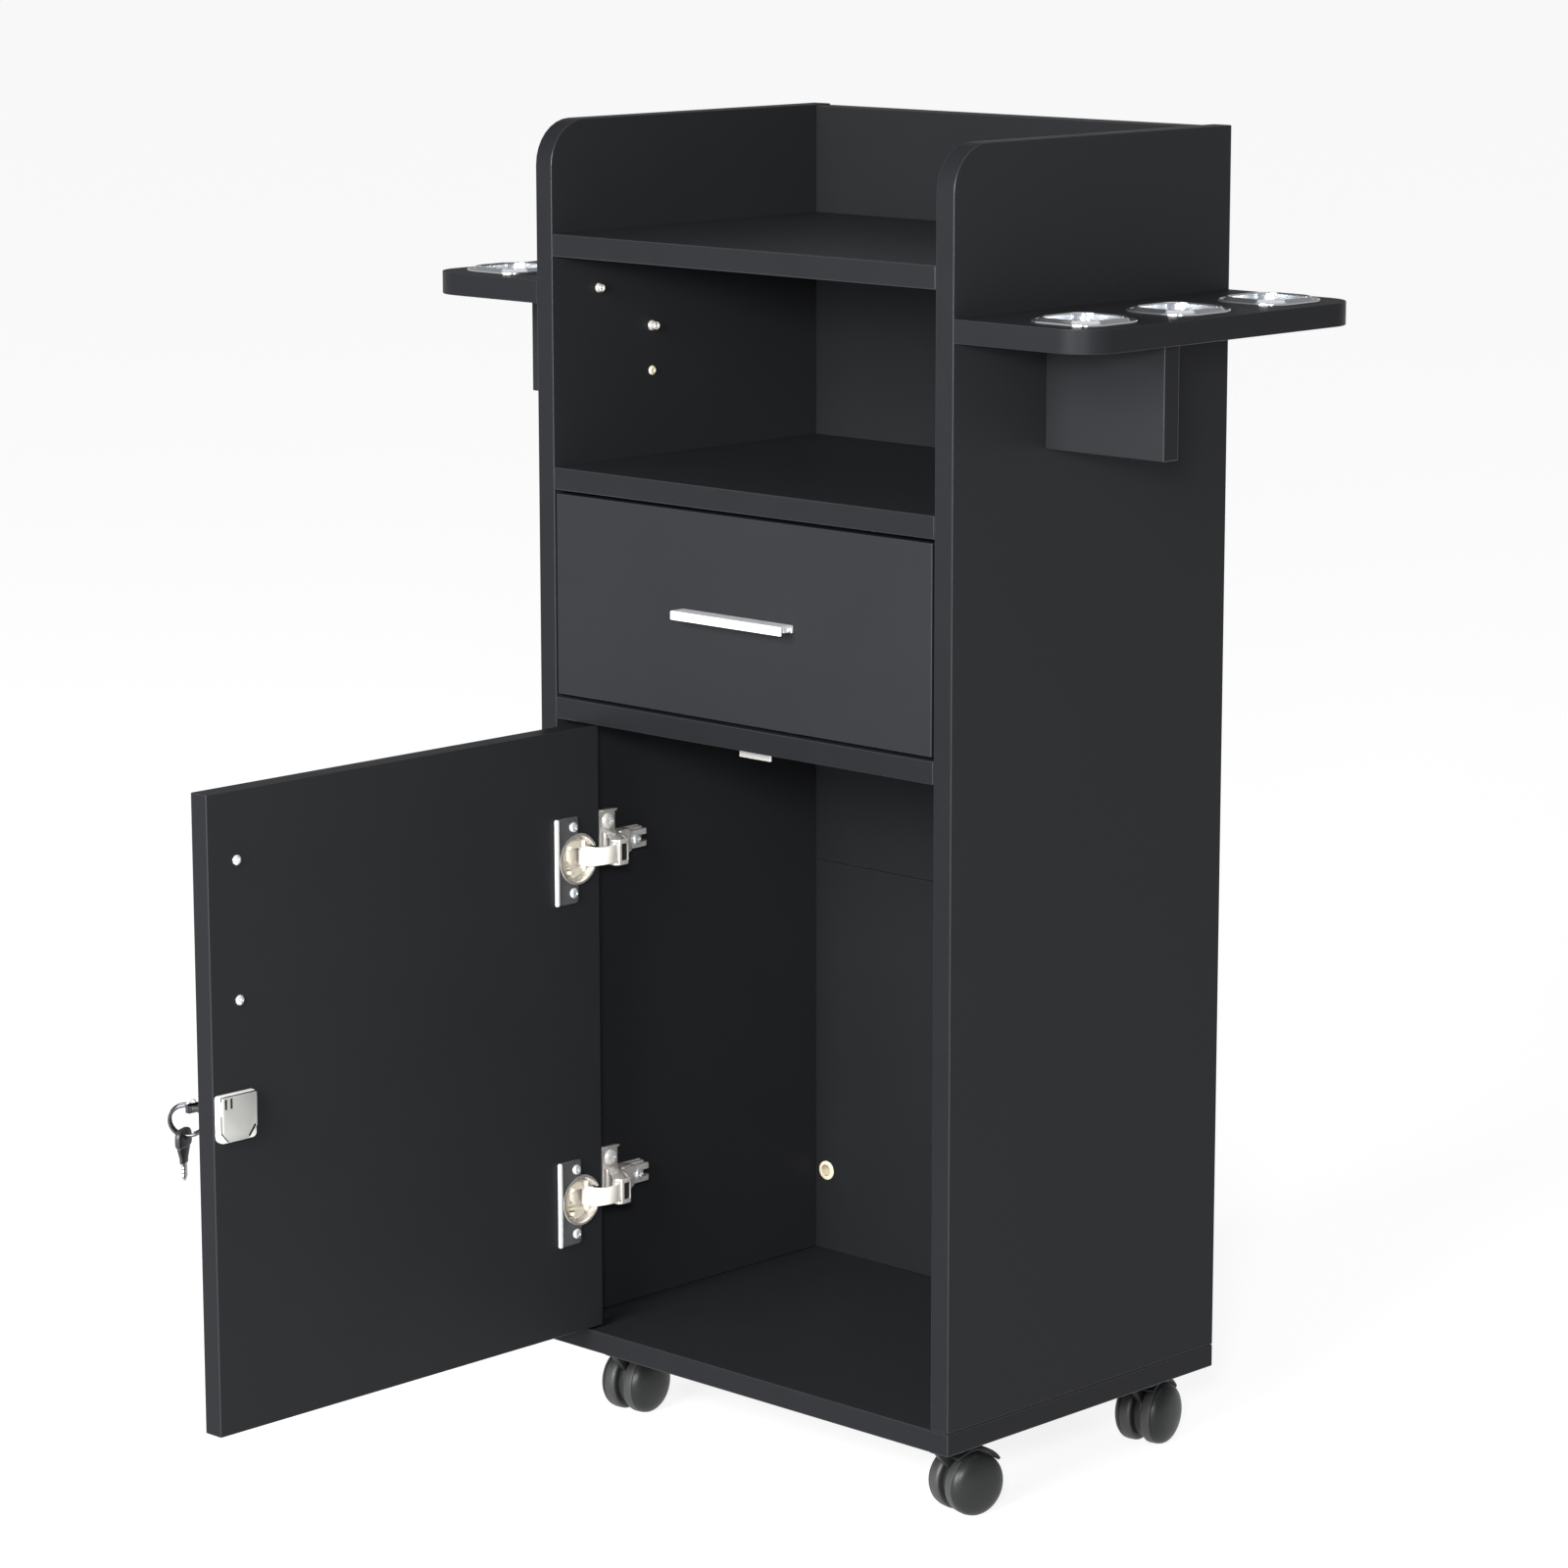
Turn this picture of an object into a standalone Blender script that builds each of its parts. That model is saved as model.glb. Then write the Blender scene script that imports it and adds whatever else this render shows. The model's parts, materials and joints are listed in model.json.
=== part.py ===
"""Spa trolley cart: a tall black cabinet of 16 mm coated board on four twin-wheel casters.

It has an open tray on top, an open compartment, an inset drawer, a lower cabinet behind an inset
door on two concealed hinges with a lock, and a holder shelf on each side with three chromed ring
inserts over a bracket board. It stands with its drawer shut and its door open at a right angle.

Metres, +Z up. The front faces -Y and x = 0 is the cabinet's middle. Everything is a child of
cart_frame, whose y = 0 is the plane of the front edges and whose z = 0 is the floor.
"""

import math

import bmesh
import bpy
from mathutils import Vector

# Cabinet
WIDTH = 0.396
DEPTH = 0.285
BOARD = 0.016
BODY_HEIGHT = 0.890
CASTER_HEIGHT = 0.060
FRONT_CORNER_RADIUS = 0.032
BACK_SEAM = 0.3815
DIVIDER_TOP = 0.541
SHELF_TOP = 0.706
DECK_TOP = 0.871
GAP = 0.0003

# Cable hole in the lower back board
CABLE_HOLE = (-0.170, 0.139)
CABLE_HOLE_RADIUS = 0.006

# Holder shelves, their brackets and the ring inserts
HOLDER_REACH = 0.314
HOLDER_TOP = 0.837
HOLDER_CORNER_RADIUS = 0.028
BRACKET_REACH = 0.301
BRACKET_FRONT = 0.0917
BRACKET_BOTTOM = 0.7435
BRACKET_BOARD = 0.015
RING_PITCH = 0.096
RING_X = 0.270
RING_HALF = 0.030
RING_BORE_HALF = 0.0234
RING_SLEEVE = 0.0012
RING_ROUND = 0.6

# Drawer
DRAWER_GAP = 0.0025
DRAWER_BOX_HALF = 0.169
DRAWER_SIDE = 0.012
DRAWER_LOW = 0.556
DRAWER_HIGH = 0.646
DRAWER_REAR = 0.250
DRAWER_PANEL = 0.005
DRAWER_PANEL_Z = 0.562
GROOVE = 0.005
GROOVE_PLAY = 0.0003

# Runners of the drawer
RUNNER_Z = 0.600
RUNNER_SHEET = 0.0014
RUNNER_FRONT = 0.020
RUNNER_REAR = 0.265

# Channel handles
HANDLE_LENGTH = 0.106
HANDLE_PITCH = 0.096
HANDLE_REACH = 0.013
HANDLE_LIP = 0.0063
HANDLE_FLANGE = 0.0053
HANDLE_SHEET = 0.0016

# Door, standing open: its faces look along X and its hinge edge is just inside the cabinet
DOOR_WIDTH = 0.361
DOOR_LOW = 0.078
DOOR_HIGH = 0.523
DOOR_EDGE = 0.0105
DOOR_INNER_X = -0.150
DOOR_HANDLE_EDGE = 0.336
DOOR_HANDLE_Z = 0.4277

# Concealed hinges: the arm's pin is fixed to the cabinet, the cup's pin moves with the door
HINGE_Z = {"upper": 0.4285, "lower": 0.1765}
ARM_PIN = (-0.1482, 0.0257)
CUP_PIN = (-0.1560, 0.0)
CUP_FROM_EDGE = 0.0215
CUP_RADIUS = 0.0175
CUP_DEPTH = 0.0124
CUP_WALL = 0.001
PIN_RADIUS = 0.0018
LINK_HALF = 0.007
LINK_SHEET = 0.0028
LINK_EYE_RADIUS = 0.003
ARM_HALF = 0.0093
ARM_THICK = 0.0096
FORK_PLAY = 0.0004
PLATE_SHEET = 0.002
PLATE_FRONT = 0.040
PLATE_WING_REAR = 0.061
PLATE_REAR = 0.088
PLATE_HALF = 0.008
PLATE_WING_TOP = 0.024
RAIL_TOP = 0.0044
RAIL_HALF = 0.0075
FLANGE_NEAR = 0.023
FLANGE_FAR = 0.045
FLANGE_HALF = 0.0315

# Lock in the door's free side
LOCK_FROM_EDGE = 0.344
LOCK_Z = 0.301
LOCK_CASE = 0.033
LOCK_CASE_DEPTH = 0.007
LOCK_PLUG_RADIUS = 0.0072
LOCK_BARREL_RADIUS = 0.0092
BOLT_TIP_FROM_EDGE = 0.3600
BOLT_LENGTH = 0.029
BOLT_LOW = 0.304
BOLT_HIGH = 0.314
BOLT_THICK = 0.0038
BOLT_BEHIND_FACE = 0.0018
DRIVE_RADIUS = 0.0054
DRIVE_PIN_RADIUS = 0.0012
MORTISE_DEPTH = 0.007
MORTISE_HALF_HEIGHT = 0.006
MORTISE_HALF_WIDTH = 0.0026

# Keys: one in the lock, a spare below it. Heads include their tapered necks.
KEY_THICK = 0.002
KEY_HEAD = 0.024
KEY_HEAD_WIDTH = 0.022
KEY_HEAD_THICK = 0.0052
KEY_BLADE = 0.026
KEY_CLEAR_OF_DOOR = 0.0125
KEY_EYE_FROM_END = 0.0085
KEY_EYE_RADIUS = 0.0027
SPARE_HEAD = 0.0215
SPARE_HEAD_WIDTH = 0.020
SPARE_HEAD_THICK = 0.0048
SPARE_BLADE = 0.0155
SPARE_DROP = 0.0185
SPARE_ASIDE = -0.0092
SPARE_EYE_RADIUS = 0.0024

# Casters
CASTER_X = 0.161
CASTER_INSET_FRONT = 0.040
CASTER_INSET_REAR = 0.039
CASTER_TRAIL = 0.017
# The turned rear wheels reach this far behind the back.
WHEEL_OVERHANG = 0.0023
CASTER_PLATE = 0.042
WHEEL_RADIUS = 0.0225
WHEEL_INNER = 0.0032
WHEEL_OUTER = 0.0212
AXLE_RADIUS = 0.003
AXLE_HALF = 0.019
CASTER_PLATE_THICK = 0.0024
RACE_RADIUS = 0.012
RACE_LOW = 0.0525
CROWN_TOP = 0.0521
CROWN_RADIUS = 0.0142
KINGPIN_RADIUS = 0.004
WEB_HALF = 0.0026
WEB_RADIUS = 0.0185
FENDER_INNER = 0.0238
FENDER_OUTER = 0.0262
FENDER_HALF = 0.0125
# Each caster stands turned a little, as a parked cart's do, in degrees.
CASTER_TURN = {"front_left": 8.0, "front_right": -11.0, "rear_left": -6.0, "rear_right": 12.0}

INNER = WIDTH / 2 - BOARD
BODY_LOW = CASTER_HEIGHT
BODY_HIGH = CASTER_HEIGHT + BODY_HEIGHT
FLOOR_TOP = BODY_LOW + BOARD
DIVIDER_LOW = DIVIDER_TOP - BOARD
SHELF_LOW = SHELF_TOP - BOARD
DOOR_OUTER_X = DOOR_INNER_X - BOARD
DOOR_FREE_Y = DOOR_EDGE - DOOR_WIDTH
# With the door shut, the bolt's middle lies this far behind the cabinet's front plane.
BOLT_SHUT_Y = BOARD + GAP + BOLT_BEHIND_FACE + BOLT_THICK / 2


def clear_scene():
    for old in list(bpy.data.objects):
        bpy.data.objects.remove(old)


def material(name, colour, roughness, metallic=0.0):
    made = bpy.data.materials.new(name)
    made.use_nodes = True
    shader = made.node_tree.nodes["Principled BSDF"]
    shader.inputs["Base Color"].default_value = (*colour, 1.0)
    shader.inputs["Roughness"].default_value = roughness
    shader.inputs["Metallic"].default_value = metallic
    made.diffuse_color = (*colour, 1.0)
    return made


def empty(name, location, parent=None):
    made = bpy.data.objects.new(name, None)
    made.location = location
    made.parent = parent
    bpy.context.scene.collection.objects.link(made)
    return made


def add(name, shape, look, parent, smooth=False):
    """Makes the object of a bmesh whose points are in its parent's coordinates."""
    shape.normal_update()
    bmesh.ops.recalc_face_normals(shape, faces=shape.faces)
    mesh = bpy.data.meshes.new(name)
    shape.to_mesh(mesh)
    shape.free()
    made = bpy.data.objects.new(name, mesh)
    made.parent = parent
    if look:
        mesh.materials.append(look)
    if smooth:
        mesh.shade_smooth()
        mesh.set_sharp_from_angle(angle=math.radians(35))
    bpy.context.scene.collection.objects.link(made)
    return made


def box_shape(low, high):
    """A box between two opposite corners, given in either order."""
    shape = bmesh.new()
    bmesh.ops.create_cube(shape, size=1.0)
    middle = (Vector(low) + Vector(high)) / 2
    size = Vector([abs(b - a) for a, b in zip(low, high)])
    for point in shape.verts:
        point.co = middle + point.co * size
    return shape


def prism_shape(outline, start, end, axis):
    """An outline extruded along an axis. Its two coordinates are the other two axes, in X, Y, Z order."""
    shape = bmesh.new()
    near = []
    for first, second in outline:
        place = [first, second]
        place.insert("XYZ".index(axis), start)
        near.append(shape.verts.new(place))
    face = shape.faces.new(near)
    made = bmesh.ops.extrude_face_region(shape, geom=[face])["geom"]
    shift = [0.0, 0.0, 0.0]
    shift["XYZ".index(axis)] = end - start
    far = [item for item in made if isinstance(item, bmesh.types.BMVert)]
    bmesh.ops.translate(shape, vec=shift, verts=far)
    return shape


def circle(centre, radius, segments=32, start=0.0, end=2 * math.pi):
    """Points on a circle; a part of a circle includes both of its ends."""
    whole = abs(end - start) >= 2 * math.pi - 1e-9
    steps = segments if whole else segments - 1
    points = []
    for index in range(segments):
        angle = start + (end - start) * index / steps
        points.append((centre[0] + radius * math.cos(angle), centre[1] + radius * math.sin(angle)))
    return points


def rounded_square(centre, half, radius, segments=4):
    points = []
    for quarter in range(4):
        angle = quarter * math.pi / 2
        side = math.copysign(1, math.cos(angle + math.pi / 4))
        rise = math.copysign(1, math.sin(angle + math.pi / 4))
        corner = (centre[0] + side * (half - radius), centre[1] + rise * (half - radius))
        points += circle(corner, radius, segments, angle, angle + math.pi / 2)
    return points


def cylinder_shape(centre, radius, start, end, axis, segments=32):
    return prism_shape(circle(centre, radius, segments), start, end, axis)


def ring_shape(loops):
    """A closed skin over loops of equal length, the last joined to the first."""
    shape = bmesh.new()
    rows = [[shape.verts.new(point) for point in loop] for loop in loops]
    for row, following in zip(rows, rows[1:] + rows[:1]):
        for index, point in enumerate(row):
            after = (index + 1) % len(row)
            shape.faces.new((point, row[after], following[after], following[index]))
    return shape


def turned_shape(profile, segments):
    """A profile of (distance along X, radius) turned about the X axis; it starts and ends on the axis."""
    shape = bmesh.new()
    edges = []
    points = [shape.verts.new((along, 0.0, radius)) for along, radius in profile]
    for first, second in zip(points, points[1:]):
        edges.append(shape.edges.new((first, second)))
    bmesh.ops.spin(
        shape,
        geom=points + edges,
        cent=(0, 0, 0),
        axis=(1, 0, 0),
        angle=2 * math.pi,
        steps=segments,
        use_merge=True,
    )
    bmesh.ops.remove_doubles(shape, verts=shape.verts, dist=1e-6)
    return shape


def moved(shape, offset):
    bmesh.ops.translate(shape, vec=offset, verts=shape.verts)
    return shape


def change(target, shape, operation):
    """Cuts a shape from an object, or joins it on, with a Boolean modifier and a hidden helper."""
    helper = add(f"{target.name}.{operation.lower()}", shape, None, target.parent)
    helper.hide_render = True
    helper.display_type = "WIRE"
    modifier = target.modifiers.new(operation, "BOOLEAN")
    modifier.operation = operation
    modifier.solver = "EXACT"
    modifier.object = helper


def cut(target, shape):
    change(target, shape, "DIFFERENCE")


def join(target, shape):
    change(target, shape, "UNION")


def ribbon(points, half, cap_segments=5):
    """The outline of a strip of even width along a bent centre line, with a round end at each end."""
    line = [Vector(point) for point in points]
    left, right = [], []
    for index, point in enumerate(line):
        before = line[max(index - 1, 0)]
        after = line[min(index + 1, len(line) - 1)]
        into = (point - before) if index else (after - point)
        out = (after - point) if index < len(line) - 1 else (point - before)
        into, out = into.normalized(), out.normalized()
        across = (Vector((-into.y, into.x)) + Vector((-out.y, out.x))).normalized()
        reach = half / max(0.5, across.dot(Vector((-out.y, out.x))))
        left.append(point + across * reach)
        right.append(point - across * reach)
    start = math.atan2((line[0] - line[1]).y, (line[0] - line[1]).x)
    end = math.atan2((line[-1] - line[-2]).y, (line[-1] - line[-2]).x)
    head = circle(line[0], half, cap_segments, start - math.pi / 2, start + math.pi / 2)
    tail = circle(line[-1], half, cap_segments, end - math.pi / 2, end + math.pi / 2)
    return head + [tuple(p) for p in right[1:-1]] + tail + [tuple(p) for p in reversed(left[1:-1])]


def build_boards(frame, board):
    """The carcass: floor, sides, two back boards, divider, shelf and the tray's deck."""
    half = WIDTH / 2
    back_front = DEPTH - BOARD
    add("bottom_board", box_shape((-half, 0, BODY_LOW), (half, DEPTH, FLOOR_TOP)), board, frame)

    corner = (FRONT_CORNER_RADIUS, BODY_HIGH - FRONT_CORNER_RADIUS)
    outline = circle(corner, FRONT_CORNER_RADIUS, 9, math.pi, math.pi / 2)
    outline += [(DEPTH, BODY_HIGH), (DEPTH, FLOOR_TOP + GAP), (0, FLOOR_TOP + GAP)]
    sides = {}
    for side, sign in (("left", -1), ("right", 1)):
        shape = prism_shape(outline, sign * INNER, sign * half, "X")
        sides[side] = add(f"{side}_side_panel", shape, board, frame, smooth=True)
    lock_mid = (BOLT_LOW + BOLT_HIGH) / 2
    mortise = box_shape(
        (INNER - BOARD, BOLT_SHUT_Y - MORTISE_HALF_WIDTH, lock_mid - MORTISE_HALF_HEIGHT),
        (INNER + MORTISE_DEPTH, BOLT_SHUT_Y + MORTISE_HALF_WIDTH, lock_mid + MORTISE_HALF_HEIGHT),
    )
    cut(sides["right"], mortise)

    inside = INNER - GAP
    lower = box_shape((-inside, back_front, FLOOR_TOP + GAP), (inside, DEPTH, BACK_SEAM - GAP))
    lower_back = add("lower_back_panel", lower, board, frame)
    hole = cylinder_shape(
        CABLE_HOLE, CABLE_HOLE_RADIUS, back_front - BOARD, DEPTH + BOARD, "Y", 24
    )
    cut(lower_back, hole)
    upper = box_shape((-inside, back_front, BACK_SEAM), (inside, DEPTH, BODY_HIGH - 0.001))
    add("upper_back_panel", upper, board, frame)

    for name, top in (("top_deck", DECK_TOP), ("middle_shelf", SHELF_TOP), ("divider_board", DIVIDER_TOP)):
        shape = box_shape((-inside, 0, top - BOARD), (inside, back_front - GAP, top))
        add(name, shape, board, frame)


def ring_insert(frame, name, centre, chrome):
    """A chromed bezel that sits on the shelf and lines its hole."""
    top = HOLDER_TOP + GAP
    sleeve = RING_BORE_HALF + RING_SLEEVE
    foot = HOLDER_TOP - BOARD - 0.002
    section = (
        (RING_HALF, top),
        (RING_HALF, top + 0.0010),
        (RING_HALF - 0.0018, top + 0.0022),
        (RING_BORE_HALF + 0.0014, top + 0.0033),
        (RING_BORE_HALF, top + 0.0026),
        (RING_BORE_HALF, foot),
        (sleeve, foot),
        (sleeve, top),
    )
    loops = []
    for half, height in section:
        points = rounded_square(centre, half, half * RING_ROUND)
        loops.append([(x, y, height) for x, y in points])
    add(name, ring_shape(loops), chrome, frame, smooth=True)


def build_holders(frame, board, chrome):
    """A shelf on each side of the cabinet, its three ring inserts and the bracket board under it."""
    hole_half = RING_BORE_HALF + RING_SLEEVE + 0.0004
    rows = [("front", -1), ("middle", 0), ("rear", 1)]
    for side, sign in (("left", -1), ("right", 1)):
        radius = HOLDER_CORNER_RADIUS
        near = WIDTH / 2 + GAP
        front = circle((HOLDER_REACH - radius, radius), radius, 9, -math.pi / 2, 0)
        rear = circle((HOLDER_REACH - radius, DEPTH - radius), radius, 9, 0, math.pi / 2)
        outline = [(near, 0)] + front + rear + [(near, DEPTH)]
        outline = [(sign * x, y) for x, y in outline]
        shape = prism_shape(outline, HOLDER_TOP - BOARD, HOLDER_TOP, "Z")
        shelf = add(f"{side}_holder_shelf", shape, board, frame, smooth=True)
        for place, step in rows:
            centre = (sign * RING_X, DEPTH / 2 + step * RING_PITCH)
            hole = rounded_square(centre, hole_half, hole_half * RING_ROUND)
            cut(shelf, prism_shape(hole, HOLDER_TOP - 2 * BOARD, HOLDER_TOP + BOARD, "Z"))
            ring_insert(frame, f"{side}_{place}_holder_ring", centre, chrome)
        low = (sign * near, BRACKET_FRONT, BRACKET_BOTTOM)
        high = (sign * BRACKET_REACH, BRACKET_FRONT + BRACKET_BOARD, HOLDER_TOP - BOARD - GAP)
        add(f"{side}_shelf_bracket", box_shape(low, high), board, frame)


def handle_shape():
    """A channel handle along X, standing on y = 0 and open downwards, with two screw bosses."""
    top = HANDLE_LIP / 2
    back = -GAP
    reach = -HANDLE_REACH
    outline = [
        (back, top),
        (back, top - HANDLE_FLANGE),
        (back - HANDLE_SHEET, top - HANDLE_FLANGE),
        (back - HANDLE_SHEET, top - HANDLE_SHEET),
        (reach + HANDLE_SHEET, top - HANDLE_SHEET),
        (reach + HANDLE_SHEET, top - HANDLE_LIP),
        (reach, top - HANDLE_LIP),
        (reach, top - 0.0007),
        (reach + 0.0007, top),
    ]
    return prism_shape(outline, -HANDLE_LENGTH / 2, HANDLE_LENGTH / 2, "X")


def handle_boss(side):
    x = side * HANDLE_PITCH / 2
    top = HANDLE_LIP / 2
    return box_shape(
        (x - 0.0028, -0.0072, top - HANDLE_FLANGE + 0.0003),
        (x + 0.0028, -GAP - 0.0008, top - HANDLE_SHEET / 2),
    )


def build_drawer(frame, board, inner, steel, alloy):
    """The drawer, its handle and the two pairs of runner channels. It slides out along -Y."""
    slide = empty("drawer_slide", (0, 0, RUNNER_Z), frame)
    lift = Vector((0, 0, -RUNNER_Z))
    low = DIVIDER_TOP + DRAWER_GAP
    high = SHELF_LOW - DRAWER_GAP
    half = INNER - 0.002
    box_front = BOARD + GAP
    inner_half = DRAWER_BOX_HALF - DRAWER_SIDE
    panel_low = DRAWER_PANEL_Z
    panel_high = panel_low + DRAWER_PANEL
    groove_low = panel_low - GROOVE_PLAY
    groove_high = panel_high + GROOVE_PLAY

    def piece(name, start, end, look):
        return add(name, moved(box_shape(start, end), lift), look, slide)

    def groove(target, start, end):
        cut(target, moved(box_shape((*start, groove_low), (*end, groove_high)), lift))

    front = piece("drawer_front", (-half, 0, low), (half, BOARD, high), board)
    groove_half = inner_half + GROOVE
    groove(front, (-groove_half, BOARD - GROOVE), (groove_half, BOARD + 0.01))
    for side, sign in (("left", -1), ("right", 1)):
        outer_x = sign * DRAWER_BOX_HALF
        inner_x = sign * inner_half
        wall = piece(
            f"drawer_{side}_side",
            (outer_x, box_front, DRAWER_LOW),
            (inner_x, DRAWER_REAR, DRAWER_HIGH),
            inner,
        )
        groove_x = sign * (inner_half + GROOVE)
        groove(wall, (sign * (inner_half - 0.01), 0), (groove_x, DRAWER_REAR + 0.01))
    back_front = DRAWER_REAR - DRAWER_SIDE
    back_half = inner_half - GAP
    back = piece(
        "drawer_back", (-back_half, back_front, DRAWER_LOW), (back_half, DRAWER_REAR, DRAWER_HIGH), inner
    )
    groove(back, (-DRAWER_BOX_HALF, back_front - 0.01), (DRAWER_BOX_HALF, back_front + GROOVE))
    panel_half = inner_half + GROOVE - GROOVE_PLAY
    panel_front = BOARD - GROOVE + GROOVE_PLAY
    panel_rear = back_front + GROOVE - GROOVE_PLAY
    start, end = (-panel_half, panel_front, panel_low), (panel_half, panel_rear, panel_high)
    piece("drawer_bottom", start, end, inner)

    handle_lift = Vector((0, 0, (low + high) / 2 - RUNNER_Z))
    handle = add("drawer_handle", moved(handle_shape(), handle_lift), alloy, slide)
    for side in (-1, 1):
        join(handle, moved(handle_boss(side), handle_lift))

    for side, sign in (("left", -1), ("right", 1)):
        # The cabinet's channel opens towards the drawer and holds the drawer's channel.
        start = RUNNER_FRONT + 0.002
        rear = DRAWER_REAR - 0.002
        sections = (
            ("cabinet_runner", INNER - GAP, 0.172, 0.0225, RUNNER_FRONT, RUNNER_REAR, frame, 0.0),
            ("drawer_runner", DRAWER_BOX_HALF + GAP, 0.1765, 0.0180, start, rear, slide, -RUNNER_Z),
        )
        for name, back_x, open_x, tall, front_y, rear_y, holder, rise in sections:
            web = back_x + math.copysign(RUNNER_SHEET, open_x - back_x)
            outline = [
                (back_x, -tall),
                (open_x, -tall),
                (open_x, -tall + RUNNER_SHEET),
                (web, -tall + RUNNER_SHEET),
                (web, tall - RUNNER_SHEET),
                (open_x, tall - RUNNER_SHEET),
                (open_x, tall),
                (back_x, tall),
            ]
            outline = [(sign * x, z + RUNNER_Z + rise) for x, z in outline]
            add(f"{side}_{name}", prism_shape(outline, front_y, rear_y, "Y"), steel, holder)


def build_hinge(frame, door_pivot, level, steel, zinc):
    """A concealed hinge: plate and arm on the cabinet, a bent link, and the cup in the door."""
    middle = HINGE_Z[level]

    # The plate has one wing, above the arm, and a raised rail that carries the arm.
    wall = -INNER + GAP
    outline = [
        (PLATE_FRONT, middle - PLATE_HALF),
        (PLATE_REAR, middle - PLATE_HALF),
        (PLATE_REAR, middle + PLATE_HALF),
        (PLATE_WING_REAR, middle + PLATE_HALF),
        (PLATE_WING_REAR, middle + PLATE_WING_TOP),
        (PLATE_FRONT, middle + PLATE_WING_TOP),
    ]
    shape = prism_shape(outline, wall, wall + PLATE_SHEET, "X")
    plate = add(f"{level}_hinge_plate", shape, steel, frame)
    rail = box_shape(
        (wall + PLATE_SHEET / 2, PLATE_FRONT + 0.0005, middle - RAIL_HALF),
        (wall + RAIL_TOP, PLATE_REAR - 0.0005, middle + RAIL_HALF),
    )
    join(plate, rail)

    spine = [ARM_PIN, (-0.158, 0.0335), (-0.1722, 0.044), (-0.1722, 0.086)]
    outline = ribbon(spine, ARM_THICK / 2)
    arm = add(
        f"{level}_hinge_arm",
        prism_shape(outline, middle - ARM_HALF, middle + ARM_HALF, "Z"),
        steel,
        frame,
        smooth=True,
    )
    fork = LINK_HALF + FORK_PLAY
    cut(arm, box_shape((-0.1560, 0.012, middle - fork), (-0.136, 0.0335, middle + fork)))
    cut(arm, cylinder_shape(ARM_PIN, PIN_RADIUS + 0.0003, middle - 0.02, middle + 0.02, "Z", 16))
    cut(arm, box_shape((-0.180, 0.078, middle - 0.003), (-0.160, 0.095, middle + 0.003)))

    pivot = empty(f"{level}_link_pivot", (*ARM_PIN, middle), frame)
    to_pivot = Vector((-ARM_PIN[0], -ARM_PIN[1], 0))
    bend = [ARM_PIN, (-0.1440, 0.018), (-0.1433, 0.010), (-0.1460, 0.0038), (-0.1510, 0.0005), CUP_PIN]
    shape = prism_shape(ribbon(bend, LINK_SHEET / 2), -LINK_HALF, LINK_HALF, "Z")
    link = add(f"{level}_hinge_link", moved(shape, to_pivot), zinc, pivot, smooth=True)
    pin_off_centre = CUP_PIN[1] - (DOOR_EDGE - CUP_FROM_EDGE) + PIN_RADIUS
    cup_chord = math.sqrt((CUP_RADIUS - CUP_WALL) ** 2 - pin_off_centre**2)
    for place, reach in ((ARM_PIN, ARM_HALF - 0.0003), (CUP_PIN, cup_chord - 0.0003)):
        eye_half = LINK_HALF - FORK_PLAY
        eye = cylinder_shape(place, LINK_EYE_RADIUS, -eye_half, eye_half, "Z", 16)
        join(link, moved(eye, to_pivot))
        join(link, moved(cylinder_shape(place, PIN_RADIUS, -reach, reach, "Z", 16), to_pivot))

    to_door = Vector((-CUP_PIN[0], -CUP_PIN[1], -HINGE_Z["upper"]))
    centre = (DOOR_EDGE - CUP_FROM_EDGE, middle)
    face = DOOR_INNER_X + GAP
    bottom = DOOR_INNER_X - CUP_DEPTH
    shell = cylinder_shape(centre, CUP_RADIUS, bottom, face + 0.0006, "X", 28)
    cup = add(f"{level}_hinge_cup", moved(shell, to_door), zinc, door_pivot, smooth=True)
    rim = cylinder_shape(centre, CUP_RADIUS + 0.0013, face, face + 0.001, "X", 28)
    join(cup, moved(rim, to_door))
    strip_near = DOOR_EDGE - FLANGE_NEAR
    strip_far = DOOR_EDGE - FLANGE_FAR
    strip = box_shape(
        (face + 0.0002, strip_far, middle - FLANGE_HALF),
        (face + 0.0014, strip_near, middle + FLANGE_HALF),
    )
    join(cup, moved(strip, to_door))
    for end in (-1, 1):
        near_z = middle + end * (FLANGE_HALF - 0.013)
        far_z = middle + end * (FLANGE_HALF + 0.0005)
        pad = box_shape(
            (face + 0.0005, strip_far - 0.0004, near_z), (face + 0.003, strip_near + 0.0004, far_z)
        )
        join(cup, moved(pad, to_door))
    hollow = cylinder_shape(centre, CUP_RADIUS - CUP_WALL, bottom + 0.0007, face + 0.02, "X", 28)
    cut(cup, moved(hollow, to_door))
    mouth_half = LINK_HALF + 0.0006
    mouth = box_shape(
        (face - 0.0030, 0.001, middle - mouth_half), (face + 0.01, 0.0095, middle + mouth_half)
    )
    cut(cup, moved(mouth, to_door))


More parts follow.
